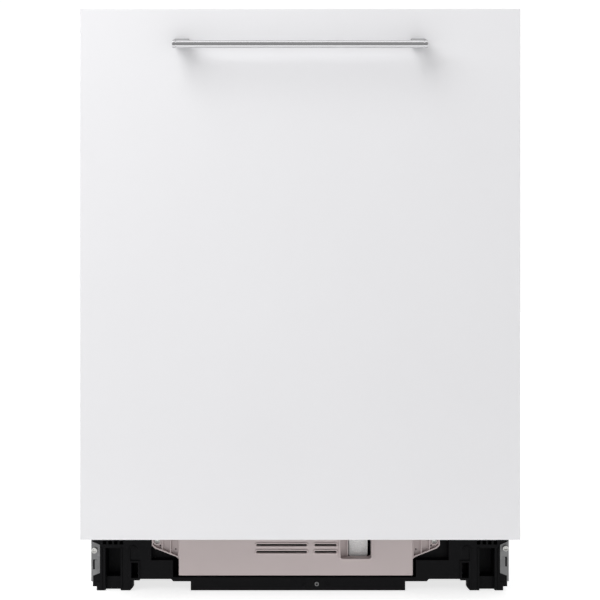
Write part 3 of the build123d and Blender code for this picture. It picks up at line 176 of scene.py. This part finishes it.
def spread(material, value, low, high, start=0.0, end=1.0):
    """A value mapped from start-end to low-high."""
    ramp = material.node_tree.nodes.new("ShaderNodeMapRange")
    for socket, number in (("From Min", start), ("From Max", end), ("To Min", low), ("To Max", high)):
        ramp.inputs[socket].default_value = number
    material.node_tree.links.new(value, ramp.inputs["Value"])
    return ramp.outputs["Result"]


def tint(material, value, first, second):
    """A colour between two, by a value from 0 to 1."""
    mix = material.node_tree.nodes.new("ShaderNodeMix")
    mix.data_type = "RGBA"
    mix.inputs["A"].default_value = (*first, 1)
    mix.inputs["B"].default_value = (*second, 1)
    material.node_tree.links.new(value, mix.inputs["Factor"])
    return mix.outputs["Result"]


def relief(material, shader, value, strength, depth, under=None):
    """Bumps by a value, over an earlier relief if there is one."""
    bump = material.node_tree.nodes.new("ShaderNodeBump")
    bump.inputs["Strength"].default_value = strength
    bump.inputs["Distance"].default_value = depth
    material.node_tree.links.new(value, bump.inputs["Height"])
    if under is not None:
        material.node_tree.links.new(under, bump.inputs["Normal"])
    material.node_tree.links.new(bump.outputs["Normal"], shader.inputs["Normal"])
    return bump.outputs["Normal"]


def shade(base, factor):
    """A colour made lighter or darker."""
    return tuple(min(1.0, channel * factor) for channel in base)


def link(material, value, shader, socket):
    """Joins a value to one of the shader's sockets."""
    material.node_tree.links.new(value, shader.inputs[socket])


# ---------------------------------------------------------------- finishes
def lacquer(base):
    """Sprayed satin lacquer: a faint orange peel and slight shade differences."""
    material, shader, place = blank("white_lacquer", base, 0.34)
    relief(material, shader, noise(material, place, 420.0, 2.0), 0.05, 0.0002)
    patches = noise(material, place, 5.0, 2.0)
    link(material, tint(material, patches, shade(base, 0.985), shade(base, 1.01)), shader, "Base Color")
    link(material, spread(material, noise(material, place, 60.0), 0.30, 0.40), shader, "Roughness")
    shader.inputs["Coat Weight"].default_value = 0.15
    shader.inputs["Coat Roughness"].default_value = 0.2
    return material


def brushed(name, base, along, roughness, grain=1.0):
    """Brushed metal with its grain along X, Y or Z."""
    material, shader, place = blank(name, base, roughness, 1.0)
    fine, drawn_out = 900.0, 9.0
    scale = [drawn_out if letter == along else fine for letter in "XYZ"]
    streaks = noise(material, stretch(material, place, scale), 1.0, 4.0, 0.6)
    relief(material, shader, streaks, 0.12 * grain, 0.0002)
    link(material, spread(material, streaks, roughness - 0.07, roughness + 0.10), shader, "Roughness")
    wide = noise(material, stretch(material, place, [number / 12 for number in scale]), 1.0, 2.0)
    link(material, tint(material, wide, shade(base, 0.92), shade(base, 1.06)), shader, "Base Color")
    return material


def moulded(name, base, roughness, grain, spots, gloss=0.5):
    """Moulded plastic with an eroded grain and worn, slightly lighter patches."""
    material, shader, place = blank(name, base, roughness)
    shader.inputs["Specular IOR Level"].default_value = gloss
    relief(material, shader, noise(material, place, 1500.0, 3.0, 0.6), grain, 0.00025)
    patches = noise(material, place, 14.0, 4.0, 0.55)
    worn = tint(material, patches, shade(base, 1 - spots), shade(base, 1 + spots))
    link(material, worn, shader, "Base Color")
    link(material, spread(material, patches, roughness - 0.06, roughness + 0.08), shader, "Roughness")
    return material


def galvanised(base):
    """Zinc-coated sheet: flat crystals of differing grey under a dull film."""
    material, shader, place = blank("galvanised", base, 0.42, 0.85)
    crystals = cells(material, place, 95.0, "F1", "Color")
    split = material.node_tree.nodes.new("ShaderNodeSeparateColor")
    material.node_tree.links.new(crystals, split.inputs["Color"])
    greys = tint(material, split.outputs["Red"], shade(base, 0.86), shade(base, 1.12))
    link(material, greys, shader, "Base Color")
    link(material, spread(material, split.outputs["Green"], 0.34, 0.50), shader, "Roughness")
    relief(material, shader, noise(material, place, 260.0, 4.0), 0.06, 0.0003)
    return material


def rubber(base):
    """Matt rubber with dusty patches."""
    material, shader, place = blank("seal_rubber", base, 0.75)
    dust = noise(material, place, 30.0, 5.0, 0.6)
    link(material, tint(material, dust, shade(base, 0.8), shade(base, 1.6)), shader, "Base Color")
    relief(material, shader, noise(material, place, 900.0), 0.25, 0.0003)
    return material


def bead_foam(base):
    """Expanded foam: packed round beads with darker joints."""
    material, shader, place = blank("foam", base, 0.78)
    edges = cells(material, place, 420.0, "DISTANCE_TO_EDGE", "Distance")
    joint = spread(material, edges, 0.0, 1.0, 0.0, 0.12)
    link(material, tint(material, joint, shade(base, 0.84), shade(base, 1.03)), shader, "Base Color")
    relief(material, shader, joint, 0.5, 0.0006)
    return material


def felt(base):
    """Needled felt: tangled fibres and soft lumps."""
    material, shader, place = blank("felt", base, 0.92)
    fibres = noise(material, place, 700.0, 8.0, 0.75)
    lumps = noise(material, place, 38.0, 3.0)
    link(material, tint(material, fibres, shade(base, 0.5), shade(base, 2.2)), shader, "Base Color")
    first = relief(material, shader, lumps, 0.4, 0.003)
    relief(material, shader, fibres, 0.6, 0.0008, first)
    shader.inputs["Sheen Weight"].default_value = 0.3
    return material


def nylon(base):
    """Dipped nylon coating: smooth with slow ripples."""
    material, shader, place = blank("rack_coat", base, 0.32)
    relief(material, shader, noise(material, place, 180.0, 2.0), 0.12, 0.0004)
    patches = noise(material, place, 22.0)
    link(material, tint(material, patches, shade(base, 0.92), shade(base, 1.08)), shader, "Base Color")
    shader.inputs["Coat Weight"].default_value = 0.3
    return material


def black_glass():
    """Dark glossy display window."""
    material, shader, place = blank("display_glass", (0.008, 0.009, 0.011), 0.06)
    smears = noise(material, place, 45.0, 5.0, 0.65)
    link(material, spread(material, smears, 0.04, 0.16), shader, "Roughness")
    shader.inputs["Coat Weight"].default_value = 0.6
    return material


def wear(node, material):
    """Puts one material on all of a part's slots."""
    part = NODES[node]
    if not part.material_slots:
        part.data.materials.append(material)
    for slot in part.material_slots:
        slot.material = material


# ---------------------------------------------------------------- modelling helpers
def clear_selection():
    """Deselects everything, so that an operator acts on the new piece only."""
    if bpy.context.object and bpy.context.object.mode != "OBJECT":
        bpy.ops.object.mode_set(mode="OBJECT")
    bpy.ops.object.select_all(action="DESELECT")


def activate(*pieces):
    """Selects these pieces and makes the first one active."""
    clear_selection()
    for piece in pieces:
        piece.select_set(True)
    bpy.context.view_layer.objects.active = pieces[0]


def modify(piece, kind, **values):
    """Adds a modifier to a piece and applies it."""
    activate(piece)
    modifier = piece.modifiers.new(kind.title(), kind)
    for name, value in values.items():
        setattr(modifier, name, value)
    bpy.ops.object.modifier_apply(modifier=modifier.name)


def settle(piece):
    """Moves the piece's place into its mesh."""
    activate(piece)
    bpy.ops.object.transform_apply(location=True, rotation=True, scale=True)


def unite(name, pieces):
    """Joins pieces into one named object."""
    activate(*pieces)
    whole = pieces[0]
    if len(pieces) > 1:
        bpy.ops.object.join()
    whole.name = name
    whole.data.name = name
    settle(whole)
    return whole


def finish_piece(piece, material, body, slot, *replaced):
    """Gives a piece its material and body, and hides the parts that it stands for."""
    piece.data.materials.clear()
    piece.data.materials.append(material)
    activate(piece)
    bpy.ops.object.shade_smooth_by_angle(angle=radians(40))
    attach(piece, body)
    if replaced:
        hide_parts(*replaced)


def box_piece(low, high, bevel=0.0):
    """A cube between two corners, with bevelled edges."""
    clear_selection()
    middle = [(a + b) / 2 for a, b in zip(low, high)]
    bpy.ops.mesh.primitive_cube_add(size=1, location=middle)
    piece = bpy.context.object
    piece.scale = [b - a for a, b in zip(low, high)]
    settle(piece)
    if bevel:
        modify(piece, "BEVEL", width=bevel, segments=3, limit_method="ANGLE")
    return piece


def round_piece(centre, radius, depth, axis, sides=32, bevel=0.0):
    """A cylinder about a centre along X, Y or Z, with bevelled ends."""
    clear_selection()
    turn = {"X": (0, pi / 2, 0), "Y": (pi / 2, 0, 0), "Z": (0, 0, 0)}[axis]
    bpy.ops.mesh.primitive_cylinder_add(
        vertices=sides, radius=radius, depth=depth, location=centre, rotation=turn
    )
    piece = bpy.context.object
    settle(piece)
    if bevel:
        modify(piece, "BEVEL", width=bevel, segments=2, limit_method="ANGLE")
    return piece


def wire_piece(points, diameter, corner, closed=False):
    """A round wire through corner points, each bend a soft curve of the corner's reach."""
    bend_steps = 5
    count = len(points)
    path = []
    for number, point in enumerate(points):
        here = Vector(point)
        if not closed and number in (0, count - 1):
            path.append(here)
            continue
        before, after = Vector(points[number - 1]), Vector(points[(number + 1) % count])
        into, out = here - before, after - here
        reach = min(corner, into.length * 0.48, out.length * 0.48)
        start, end = here - into.normalized() * reach, here + out.normalized() * reach
        for step in range(bend_steps + 1):
            share = step / bend_steps
            path.append((1 - share) ** 2 * start + 2 * share * (1 - share) * here + share**2 * end)
    curve = bpy.data.curves.new("wire", "CURVE")
    curve.dimensions = "3D"
    curve.bevel_depth = diameter / 2
    curve.bevel_resolution = 1
    curve.use_fill_caps = True
    spline = curve.splines.new("POLY")
    spline.points.add(len(path) - 1)
    for target, place in zip(spline.points, path):
        target.co = (*place, 1)
    spline.use_cyclic_u = closed
    piece = bpy.data.objects.new("wire", curve)
    bpy.context.scene.collection.objects.link(piece)
    activate(piece)
    bpy.ops.object.convert(target="MESH")
    return bpy.context.object


def row(piece, count, step):
    """Repeats a piece along a vector."""
    modify(
        piece, "ARRAY", count=count, use_relative_offset=False, use_constant_offset=True,
        constant_offset_displace=step,
    )
    return piece


def fit_count(span, pitch):
    """How many wires fill a span at about this pitch."""
    return max(2, round(span / pitch) + 1)


def wire_basket(low, high, front_top, wire, rim, pitch, corner):
    """Wires of a rack between two corners: bent bars both ways, rims and a lower band."""
    inset = rim / 2
    x0, y0, z0 = (value + inset for value in low)
    x1, y1, z1 = (value - inset for value in high)
    side_top = front_top - inset
    upper = z0 + wire
    margin = corner * 1.3
    first_y, first_x = y0 + margin, x0 + margin
    pieces = []

    count = fit_count(y1 - y0 - 2 * margin, pitch)
    step = (y1 - y0 - 2 * margin) / (count - 1)
    across = [(x0, first_y, side_top), (x0, first_y, upper), (x1, first_y, upper), (x1, first_y, side_top)]
    pieces.append(row(wire_piece(across, wire, corner), count, (0, step, 0)))

    count = fit_count(x1 - x0 - 2 * margin, pitch)
    step = (x1 - x0 - 2 * margin) / (count - 1)
    along = [(first_x, y0, side_top), (first_x, y0, z0), (first_x, y1, z0), (first_x, y1, z1)]
    pieces.append(row(wire_piece(along, wire, corner), count, (step, 0, 0)))

    loop = [(x0, y0), (x1, y0), (x1, y1), (x0, y1)]
    for height, diameter in ((side_top, rim), ((z0 + side_top) / 2, wire)):
        pieces.append(wire_piece([(x, y, height) for x, y in loop], diameter, corner, closed=True))
    shoulder = y1 - 0.03
    rear = [(x0, shoulder, side_top), (x0, y1, z1), (x1, y1, z1), (x1, shoulder, side_top)]
    pieces.append(wire_piece(rear, rim, corner))
    return pieces


def runners(inner, outer, front, back, bottom, top):
    """Plastic runners of a rack on both sides, between two widths, lengths and heights."""
    gap, bevel = 0.0001, 0.0015
    pieces = []
    for side in (-1, 1):
        edges = sorted((side * (inner + gap), side * outer))
        pieces.append(box_piece((edges[0], front, bottom), (edges[1], back, top), bevel))
    return pieces


# ---------------------------------------------------------------- operators
class DISHWASHER_OT_stage(bpy.types.Operator):
    """Adds the floor, the soft lights, the pale surroundings and the camera"""

    bl_idname = "dishwasher.stage"
    bl_label = "Stage"

    def execute(self, context):
        settings = context.scene.dishwasher_stage
        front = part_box("furniture_panel")[0][1]
        clear_selection()
        camera_data = bpy.data.cameras.new("camera")
        camera_data.lens = settings.lens
        camera_data.sensor_width = 36
        camera = bpy.data.objects.new("camera", camera_data)
        context.scene.collection.objects.link(camera)
        camera.location = (0, front - settings.camera_distance, settings.camera_height)
        camera.rotation_euler = (pi / 2, 0, 0)
        context.scene.camera = camera
        context.scene.view_settings.view_transform = "Standard"

        self.floor(settings)
        # cards that only polished metal mirrors: dark ahead of the handle, bright above it
        width = 4.0
        ahead, tall = 0.62, 1.31
        self.card("dark_card", (0, front - ahead, tall / 2), (width, tall), pi / 2, settings.dark_card)
        near, far, above = 0.2, 1.28, 1.90
        place = (0, front - (near + far) / 2, above)
        self.card("bright_card", place, (width, far - near), pi, settings.bright_card)

        self.lamp("key_light", (-1.4, -1.2, 2.2), (2.2, 2.2), settings.key_power, (-0.2, front, 0.6))
        self.lamp("fill_light", (2.4, -2.2, 1.2), (1.4, 1.6), settings.fill_power, (0, 0, 0.4))
        self.lamp("back_light", (0.6, 2.4, 2.2), (2.2, 1.4), settings.fill_power, (0, 0, 0.4))
        self.surroundings(context.scene, settings)
        return {"FINISHED"}

    def floor(self, settings):
        """A wide pale floor that glows a little."""
        bpy.ops.mesh.primitive_plane_add(size=60)
        floor = bpy.context.object
        floor.name = "floor"
        material, shader, place = blank("pale_floor", settings.floor_colour, 0.6)
        link(material, spread(material, noise(material, place, 40.0, 6.0), 0.55, 0.68), shader, "Roughness")
        shader.inputs["Emission Color"].default_value = (1, 1, 1, 1)
        shader.inputs["Emission Strength"].default_value = settings.floor_glow
        floor.data.materials.append(material)

    def lamp(self, name, place, size, power, target):
        """A soft rectangular lamp that points at a target."""
        data = bpy.data.lights.new(name, "AREA")
        data.energy = power
        data.shape = "RECTANGLE"
        data.size, data.size_y = size
        light = bpy.data.objects.new(name, data)
        bpy.context.scene.collection.objects.link(light)
        light.location = place
        light.rotation_euler = (Vector(target) - Vector(place)).to_track_quat("-Z", "Y").to_euler()

    def surroundings(self, scene, settings):
        """White surroundings, dimmer ahead of the object than behind it."""
        dim_below, bright_above = -0.35, 0.4
        world = bpy.data.worlds.new("surroundings")
        scene.world = world
        world.use_nodes = True
        nodes, links = world.node_tree.nodes, world.node_tree.links
        where = nodes.new("ShaderNodeTexCoord")
        split = nodes.new("ShaderNodeSeparateXYZ")
        links.new(where.outputs["Generated"], split.inputs["Vector"])
        ramp = nodes.new("ShaderNodeMapRange")
        ramp.inputs["From Min"].default_value = dim_below
        ramp.inputs["From Max"].default_value = bright_above
        ramp.inputs["To Min"].default_value = settings.front_wall
        ramp.inputs["To Max"].default_value = settings.rear_wall
        links.new(split.outputs["Y"], ramp.inputs["Value"])
        links.new(ramp.outputs["Result"], nodes["Background"].inputs["Strength"])
        nodes["Background"].inputs["Color"].default_value = (1, 1, 1, 1)

    def card(self, name, place, size, turn, strength):
        """A card turned about X that shows in mirrored light alone."""
        clear_selection()
        bpy.ops.mesh.primitive_plane_add(size=1, location=place, rotation=(turn, 0, 0))
        card = bpy.context.object
        card.name = name
        card.scale = (*size, 1)
        settle(card)
        material, shader, _ = blank(name, (0, 0, 0), 1.0)
        shader.inputs["Specular IOR Level"].default_value = 0
        shader.inputs["Emission Color"].default_value = (1, 1, 1, 1)
        shader.inputs["Emission Strength"].default_value = strength
        card.data.materials.append(material)
        for view in ("camera", "diffuse", "transmission", "volume_scatter", "shadow"):
            setattr(card, f"visible_{view}", False)


class DISHWASHER_OT_front(bpy.types.Operator):
    """Finishes the furniture panel and its handle"""

    bl_idname = "dishwasher.front"
    bl_label = "Front"

    def execute(self, context):
        settings = context.scene.dishwasher_front
        wear("furniture_panel", lacquer(settings.lacquer_colour))
        wear("handle_bar", brushed("brushed_handle", settings.steel_colour, "X", roughness=0.16, grain=0.5))
        # painted shade: the posts get the bar's steel at half its brightness, for the shade that falls on the
        # posts
        shaded_post_steel = shade(settings.steel_colour, 0.5)
        wear("handle_posts", brushed("posts_painted_shade", shaded_post_steel, "X", roughness=0.3, grain=0.5))
        return {"FINISHED"}


class DISHWASHER_OT_case(bpy.types.Operator):
    """Finishes the base, the kick cover, the sheet metal and everything inside them"""

    bl_idname = "dishwasher.case"
    bl_label = "Case"

    worn_by = {
        "black": (
            "base_tray", "circulation_pump", "drain_pump", "drain_connector", "power_gland", "control_fascia",
            "door_lock", "front_foot_left", "front_foot_right", "rear_foot",
        ),
        "rose": ("kick_cover",),
        "zinc": (
            "side_panel_left", "side_panel_right", "rear_panel", "top_cross_rail", "door_outer_sheet",
            "hinge_brackets", "hinge_arms", "rear_foot_spindle",
        ),
        "screw": ("case_screws", "front_screws", "door_strike"),
        "stainless": (
            "tub", "door_liner", "filter_plate", "upper_rack_rails", "upper_rack_slides", "tray_rails",
            "tray_slides",
        ),
        "grey": (
            "sump", "lower_arm_hub", "feed_pipe", "lower_spray_arm", "upper_spray_arm", "top_spray_arm",
            "filter_cup", "salt_cap", "dispenser_body", "detergent_lid", "rinse_aid_cap", "power_button",
            "program_button", "start_button", "lower_wheels_front", "lower_wheels_rear", "cup_shelf",
        ),
        "white": ("softener_tank", "inlet_valve"),
        "foam": ("leak_float",),
        "rubber": ("tub_seal",),
        "glass": ("display_window",),
    }

    def execute(self, context):
        settings = context.scene.dishwasher_case
        finishes = {
            "black": moulded("black_moulding", settings.black_colour, 0.55, 0.3, spots=0.15, gloss=0.1),
            "rose": moulded("rose_moulding", settings.rose_colour, 0.5, 0.3, spots=0.03),
            "zinc": galvanised(settings.zinc_colour),
            "screw": brushed("zinc_screw", settings.screw_colour, "Y", 0.24),
            "stainless": brushed("stainless", settings.stainless_colour, "X", 0.24, 0.7),
            "grey": moulded("grey_plastic", settings.grey_colour, 0.4, 0.2, spots=0.06),
            "white": moulded("white_plastic", settings.white_colour, 0.35, 0.15, spots=0.04),
            "foam": bead_foam(settings.foam_colour),
            "rubber": rubber(settings.seal_colour),
            "glass": black_glass(),
        }
        for finish, nodes in self.worn_by.items():
            for node in nodes:
                wear(node, finishes[finish])
        return {"FINISHED"}


class DISHWASHER_OT_screws(bpy.types.Operator):
    """Adds the screws that hold the side panels and the kick cover"""

    bl_idname = "dishwasher.screws"
    bl_label = "Screws"

    def execute(self, context):
        seat_gap = 0.0002
        pieces = []
        for corners in self.heads():
            low = [min(corner[axis] for corner in corners) for axis in range(3)]
            high = [max(corner[axis] for corner in corners) for axis in range(3)]
            place = ((low[0] + high[0]) / 2, low[1], (low[2] + high[2]) / 2)
            pieces.append(self.screw(place, (high[0] - low[0]) / 2, high[1] - low[1] - seat_gap))
        screws = unite("case_screw_heads", pieces)
        finish_piece(screws, bpy.data.materials["zinc_screw"], "cabinet", "zinc_screw", "case_screws")
        return {"FINISHED"}

    def heads(self):
        """Corner points of each screw, told apart by their place on X."""
        reach = 0.012
        groups = []
        for vertex in sorted(NODES["case_screws"].data.vertices, key=lambda vertex: vertex.co.x):
            if not groups or vertex.co.x - groups[-1][-1].x > reach:
                groups.append([])
            groups[-1].append(vertex.co)
        return groups

    def screw(self, place, radius, length):
        """One screw along Y: a head with a raised ring, a sunk middle and rounded edges, and its shank."""
        x, y, z = place
        head, shank_radius = 0.0024, 0.0016
        piece = round_piece((x, y + head / 2, z), radius, head, "Y", 48)
        activate(piece)
        face = min(piece.data.polygons, key=lambda polygon: polygon.center.y)
        for polygon in piece.data.polygons:
            polygon.select = polygon.index == face.index
        bpy.context.tool_settings.mesh_select_mode = (False, False, True)
        bpy.ops.object.mode_set(mode="EDIT")
        ring, recess, socket = (radius * 0.16, -0.0003), (radius * 0.26, 0.0003), (radius * 0.12, 0.0012)
        for inset, rise in (ring, recess, socket):
            bpy.ops.mesh.inset(thickness=inset)
            bpy.ops.transform.translate(value=(0, rise, 0))
        bpy.ops.object.mode_set(mode="OBJECT")
        modify(piece, "BEVEL", width=0.00035, segments=3, limit_method="ANGLE", angle_limit=radians(50))
        middle = (x, y + (head + length) / 2, z)
        return unite("screw", [piece, round_piece(middle, shank_radius, length - head, "Y", 16)])


class DISHWASHER_OT_lower_rack(bpy.types.Operator):
    """Adds the lower rack's bent wires, wheel holders and folding tines"""

    bl_idname = "dishwasher.lower_rack"
    bl_label = "Lower rack"

    def execute(self, context):
        settings = context.scene.dishwasher_rack
        coat = nylon(settings.coat_colour)
        low, high = (Vector(corner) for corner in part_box("lower_rack"))
        wheels = {word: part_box(f"lower_wheels_{word}") for word in ("front", "rear")}
        above_wheels, front_drop = 0.0035, 0.018
        floor_z = wheels["front"][1][2] + above_wheels
        pieces = wire_basket(
            (low.x, low.y, floor_z), high, high.z - front_drop, settings.wire, settings.rim, settings.pitch,
            settings.corner,
        )
        self.wheel_holders(pieces, wheels, floor_z)
        finish_piece(unite("lower_rack_wires", pieces), coat, "lower_rack", "rack_coat", "lower_rack")

        finish_piece(self.tines(settings.wire), coat, "folding_tines", "rack_coat", "folding_tines")
        return {"FINISHED"}

    def wheel_holders(self, pieces, wheels, floor_z):
        """Plates and axles of the four wheels."""
        plate_outer, plate_inner = 0.0115, 0.0145
        half_length, below_axle, bevel = 0.007, 0.006, 0.001
        axle_radius, axle_length, axle_bevel = 0.0024, 0.0165, 0.0004
        for low, high in wheels.values():
            middle_y, middle_z = (low[1] + high[1]) / 2, (low[2] + high[2]) / 2
            for side in (-1, 1):
                outer = side * high[0]
                inner = outer - side * plate_inner
                edges = sorted((inner, outer - side * plate_outer))
                bottom = (edges[0], middle_y - half_length, middle_z - below_axle)
                top = (edges[1], middle_y + half_length, floor_z)
                pieces.append(box_piece(bottom, top, bevel))
                middle = ((inner + outer) / 2, middle_y, middle_z)
                pieces.append(round_piece(middle, axle_radius, axle_length, "X", 16, axle_bevel))

    def tines(self, wire):
        """A row of upright tines on a turning rod."""
        rod, corner, axis_up = 0.0036, 0.01, 0.002
        margin, pitch = 0.008, 0.026
        low, high = (Vector(point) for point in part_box("folding_tines"))
        middle_y, axis_z = (low.y + high.y) / 2, low.z + axis_up
        pieces = [wire_piece([(low.x, middle_y, axis_z), (high.x, middle_y, axis_z)], rod, corner)]
        first = low.x + margin
        tine = wire_piece([(first, middle_y, axis_z), (first, middle_y, high.z)], wire, corner)
        span = high.x - low.x - 2 * margin
        count = fit_count(span, pitch)
        pieces.append(row(tine, count, (span / (count - 1), 0, 0)))
        return unite("folding_tine_wires", pieces)


class DISHWASHER_OT_upper_rack(bpy.types.Operator):
    """Adds the upper rack's bent wires, its runners and the feed of its spray arm"""

    bl_idname = "dishwasher.upper_rack"
    bl_label = "Upper rack"

    def execute(self, context):
        settings = context.scene.dishwasher_rack
        coat = bpy.data.materials["rack_coat"]
        grey = bpy.data.materials["grey_plastic"]
        low, high = (Vector(corner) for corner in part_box("upper_rack"))
        slide_low, slide_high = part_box("upper_rack_slides")
        runner, front_inset, back_inset = 0.009, 0.008, 0.006
        depth, front_drop, rail_stop = 0.118, 0.014, 0.008
        half = high.x - runner
        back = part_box("upper_rack_rails")[1][1] - rail_stop
        floor_z = high.z - depth
        pieces = wire_basket(
            (-half, low.y, floor_z), (half, back, high.z), high.z - front_drop, settings.wire, settings.rim,
            settings.pitch, settings.corner,
        )
        pieces += runners(
            half, high.x, low.y + front_inset, back - back_inset, slide_low[2], slide_high[2]
        )
        finish_piece(unite("upper_rack_wires", pieces), coat, "upper_rack", "rack_coat", "upper_rack")
        finish_piece(self.feed(floor_z, high.y), grey, "upper_rack", "grey_plastic")
        return {"FINISHED"}

    def feed(self, floor_z, back):
        """The tube under the rack, with the spindle that carries the spray arm and its nut."""
        arm_low, arm_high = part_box("upper_spray_arm")
        middle_y = (arm_low[1] + arm_high[1]) / 2
        tube_z, bevel = arm_low[2] + 0.021, 0.001
        pieces = [round_piece((0, (middle_y + back) / 2, tube_z), 0.007, back - middle_y, "Y", 32, bevel)]
        collar_bottom, spindle_bottom = tube_z - 0.006, arm_low[2] - 0.0045
        nut_bottom, nut_top = arm_low[2] - 0.00455, arm_low[2] - 0.00045
        for bottom, top, radius, sides, edge in (
            (collar_bottom, floor_z, 0.009, 32, bevel),
            (spindle_bottom, tube_z, 0.006, 32, 0.0),
            (nut_bottom, nut_top, 0.009, 6, 0.0006),
        ):
            middle = (0, middle_y, (bottom + top) / 2)
            pieces.append(round_piece(middle, radius, top - bottom, "Z", sides, edge))
        return unite("upper_arm_feed", pieces)


class DISHWASHER_OT_cutlery_tray(bpy.types.Operator):
    """Adds the cutlery tray's wires, runners and pull"""

    bl_idname = "dishwasher.cutlery_tray"
    bl_label = "Cutlery tray"

    def execute(self, context):
        settings = context.scene.dishwasher_rack
        coat = bpy.data.materials["rack_coat"]
        low, high = (Vector(corner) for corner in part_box("cutlery_tray"))
        slide_low, slide_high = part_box("tray_slides")
        runner, runner_inset = 0.009, 0.006
        pull_depth, pull_half, pull_height, pull_gap = 0.006, 0.06, 0.022, 0.0001
        half = high.x - runner
        front, back = low.y + pull_depth, high.y
        pieces = wire_basket(
            (-half, front, low.z), (half, back, high.z), high.z, settings.tray_wire, settings.tray_rim,
            settings.tray_pitch, settings.tray_corner,
        )
        pieces += runners(
            half, high.x, front + runner_inset, back - runner_inset, slide_low[2], slide_high[2]
        )
        bottom, top = (-pull_half, low.y, high.z - pull_height), (pull_half, front - pull_gap, high.z)
        pieces.append(box_piece(bottom, top, 0.0018))
        finish_piece(unite("cutlery_tray_wires", pieces), coat, "cutlery_tray", "rack_coat", "cutlery_tray")
        return {"FINISHED"}


class DISHWASHER_OT_springs(bpy.types.Operator):
    """Adds the coils of the door's balance springs"""

    bl_idname = "dishwasher.springs"
    bl_label = "Balance springs"

    def execute(self, context):
        low, high = (Vector(point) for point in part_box("balance_springs"))
        wire, clearance, corner = 0.0022, 0.0001, 0.0001
        turns, steps = 40, 14
        radius = (high.z - low.z) / 2
        ring = radius - wire / 2 - clearance
        coils = []
        for side in (-1, 1):
            centre = Vector((side * (high.x - radius), low.y, (low.z + high.z) / 2))
            points = []
            for number in range(turns * steps + 1):
                angle = 2 * pi * number / steps
                along = (high.y - low.y) * number / (turns * steps)
                points.append(centre + Vector((ring * cos(angle), along, ring * sin(angle))))
            coils.append(wire_piece(points, wire, corner))
        springs = unite("balance_coils", coils)
        finish_piece(springs, bpy.data.materials["zinc_screw"], "cabinet", "zinc_screw", "balance_springs")
        return {"FINISHED"}


class DISHWASHER_OT_top_mat(bpy.types.Operator):
    """Adds the felt mat on top of the tub"""

    bl_idname = "dishwasher.top_mat"
    bl_label = "Top mat"

    def execute(self, context):
        low, high = (Vector(corner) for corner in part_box("top_insulation"))
        side_gap, under_gap, pile = 0.001, 0.0005, 0.0035
        mat = box_piece(
            (low.x + side_gap, low.y + side_gap, low.z + under_gap),
            (high.x - side_gap, high.y - side_gap, high.z - pile),
        )
        activate(mat)
        bpy.ops.object.mode_set(mode="EDIT")
        bpy.ops.mesh.select_all(action="SELECT")
        bpy.ops.mesh.subdivide(number_cuts=28)
        bpy.ops.object.mode_set(mode="OBJECT")
        lumps = bpy.data.textures.new("mat_lumps", "CLOUDS")
        lumps.noise_scale = 0.05
        modify(
            mat, "DISPLACE", texture=lumps, strength=0.004, mid_level=0.5, texture_coords="LOCAL",
            direction="Z",
        )
        modify(mat, "SUBSURF", levels=1, render_levels=1)
        mat = unite("top_felt_mat", [mat])
        felt_colour = context.scene.dishwasher_case.felt_colour
        finish_piece(mat, felt(felt_colour), "cabinet", "felt", "top_insulation")
        return {"FINISHED"}


# ---------------------------------------------------------------- panel and registration
STEPS = (
    DISHWASHER_OT_stage,
    DISHWASHER_OT_front,
    DISHWASHER_OT_case,
    DISHWASHER_OT_screws,
    DISHWASHER_OT_lower_rack,
    DISHWASHER_OT_upper_rack,
    DISHWASHER_OT_cutlery_tray,
    DISHWASHER_OT_springs,
    DISHWASHER_OT_top_mat,
)
SETTINGS = {
    "dishwasher_stage": StageSettings,
    "dishwasher_front": FrontSettings,
    "dishwasher_case": CaseSettings,
    "dishwasher_rack": RackSettings,
}


class DISHWASHER_PT_panel(bpy.types.Panel):
    """Lists the dishwasher's steps"""

    bl_label = "Dishwasher"
    bl_idname = "DISHWASHER_PT_panel"
    bl_space_type = "VIEW_3D"
    bl_region_type = "UI"
    bl_category = "Dishwasher"

    def draw(self, context):
        for step in STEPS:
            self.layout.operator(step.bl_idname)


def register():
    """Registers the classes and their settings."""
    for name, settings in SETTINGS.items():
        bpy.utils.register_class(settings)
        setattr(bpy.types.Scene, name, PointerProperty(type=settings))
    for step in STEPS:
        bpy.utils.register_class(step)
    bpy.utils.register_class(DISHWASHER_PT_panel)


def unregister():
    """Removes the classes and their settings."""
    bpy.utils.unregister_class(DISHWASHER_PT_panel)
    for step in reversed(STEPS):
        bpy.utils.unregister_class(step)
    for name, settings in SETTINGS.items():
        delattr(bpy.types.Scene, name)
        bpy.utils.unregister_class(settings)


def main():
    """Runs every step in order."""
    register()
    for step in STEPS:
        family, name = step.bl_idname.split(".")
        getattr(getattr(bpy.ops, family), name)()


if __name__ == "__main__":
    main()
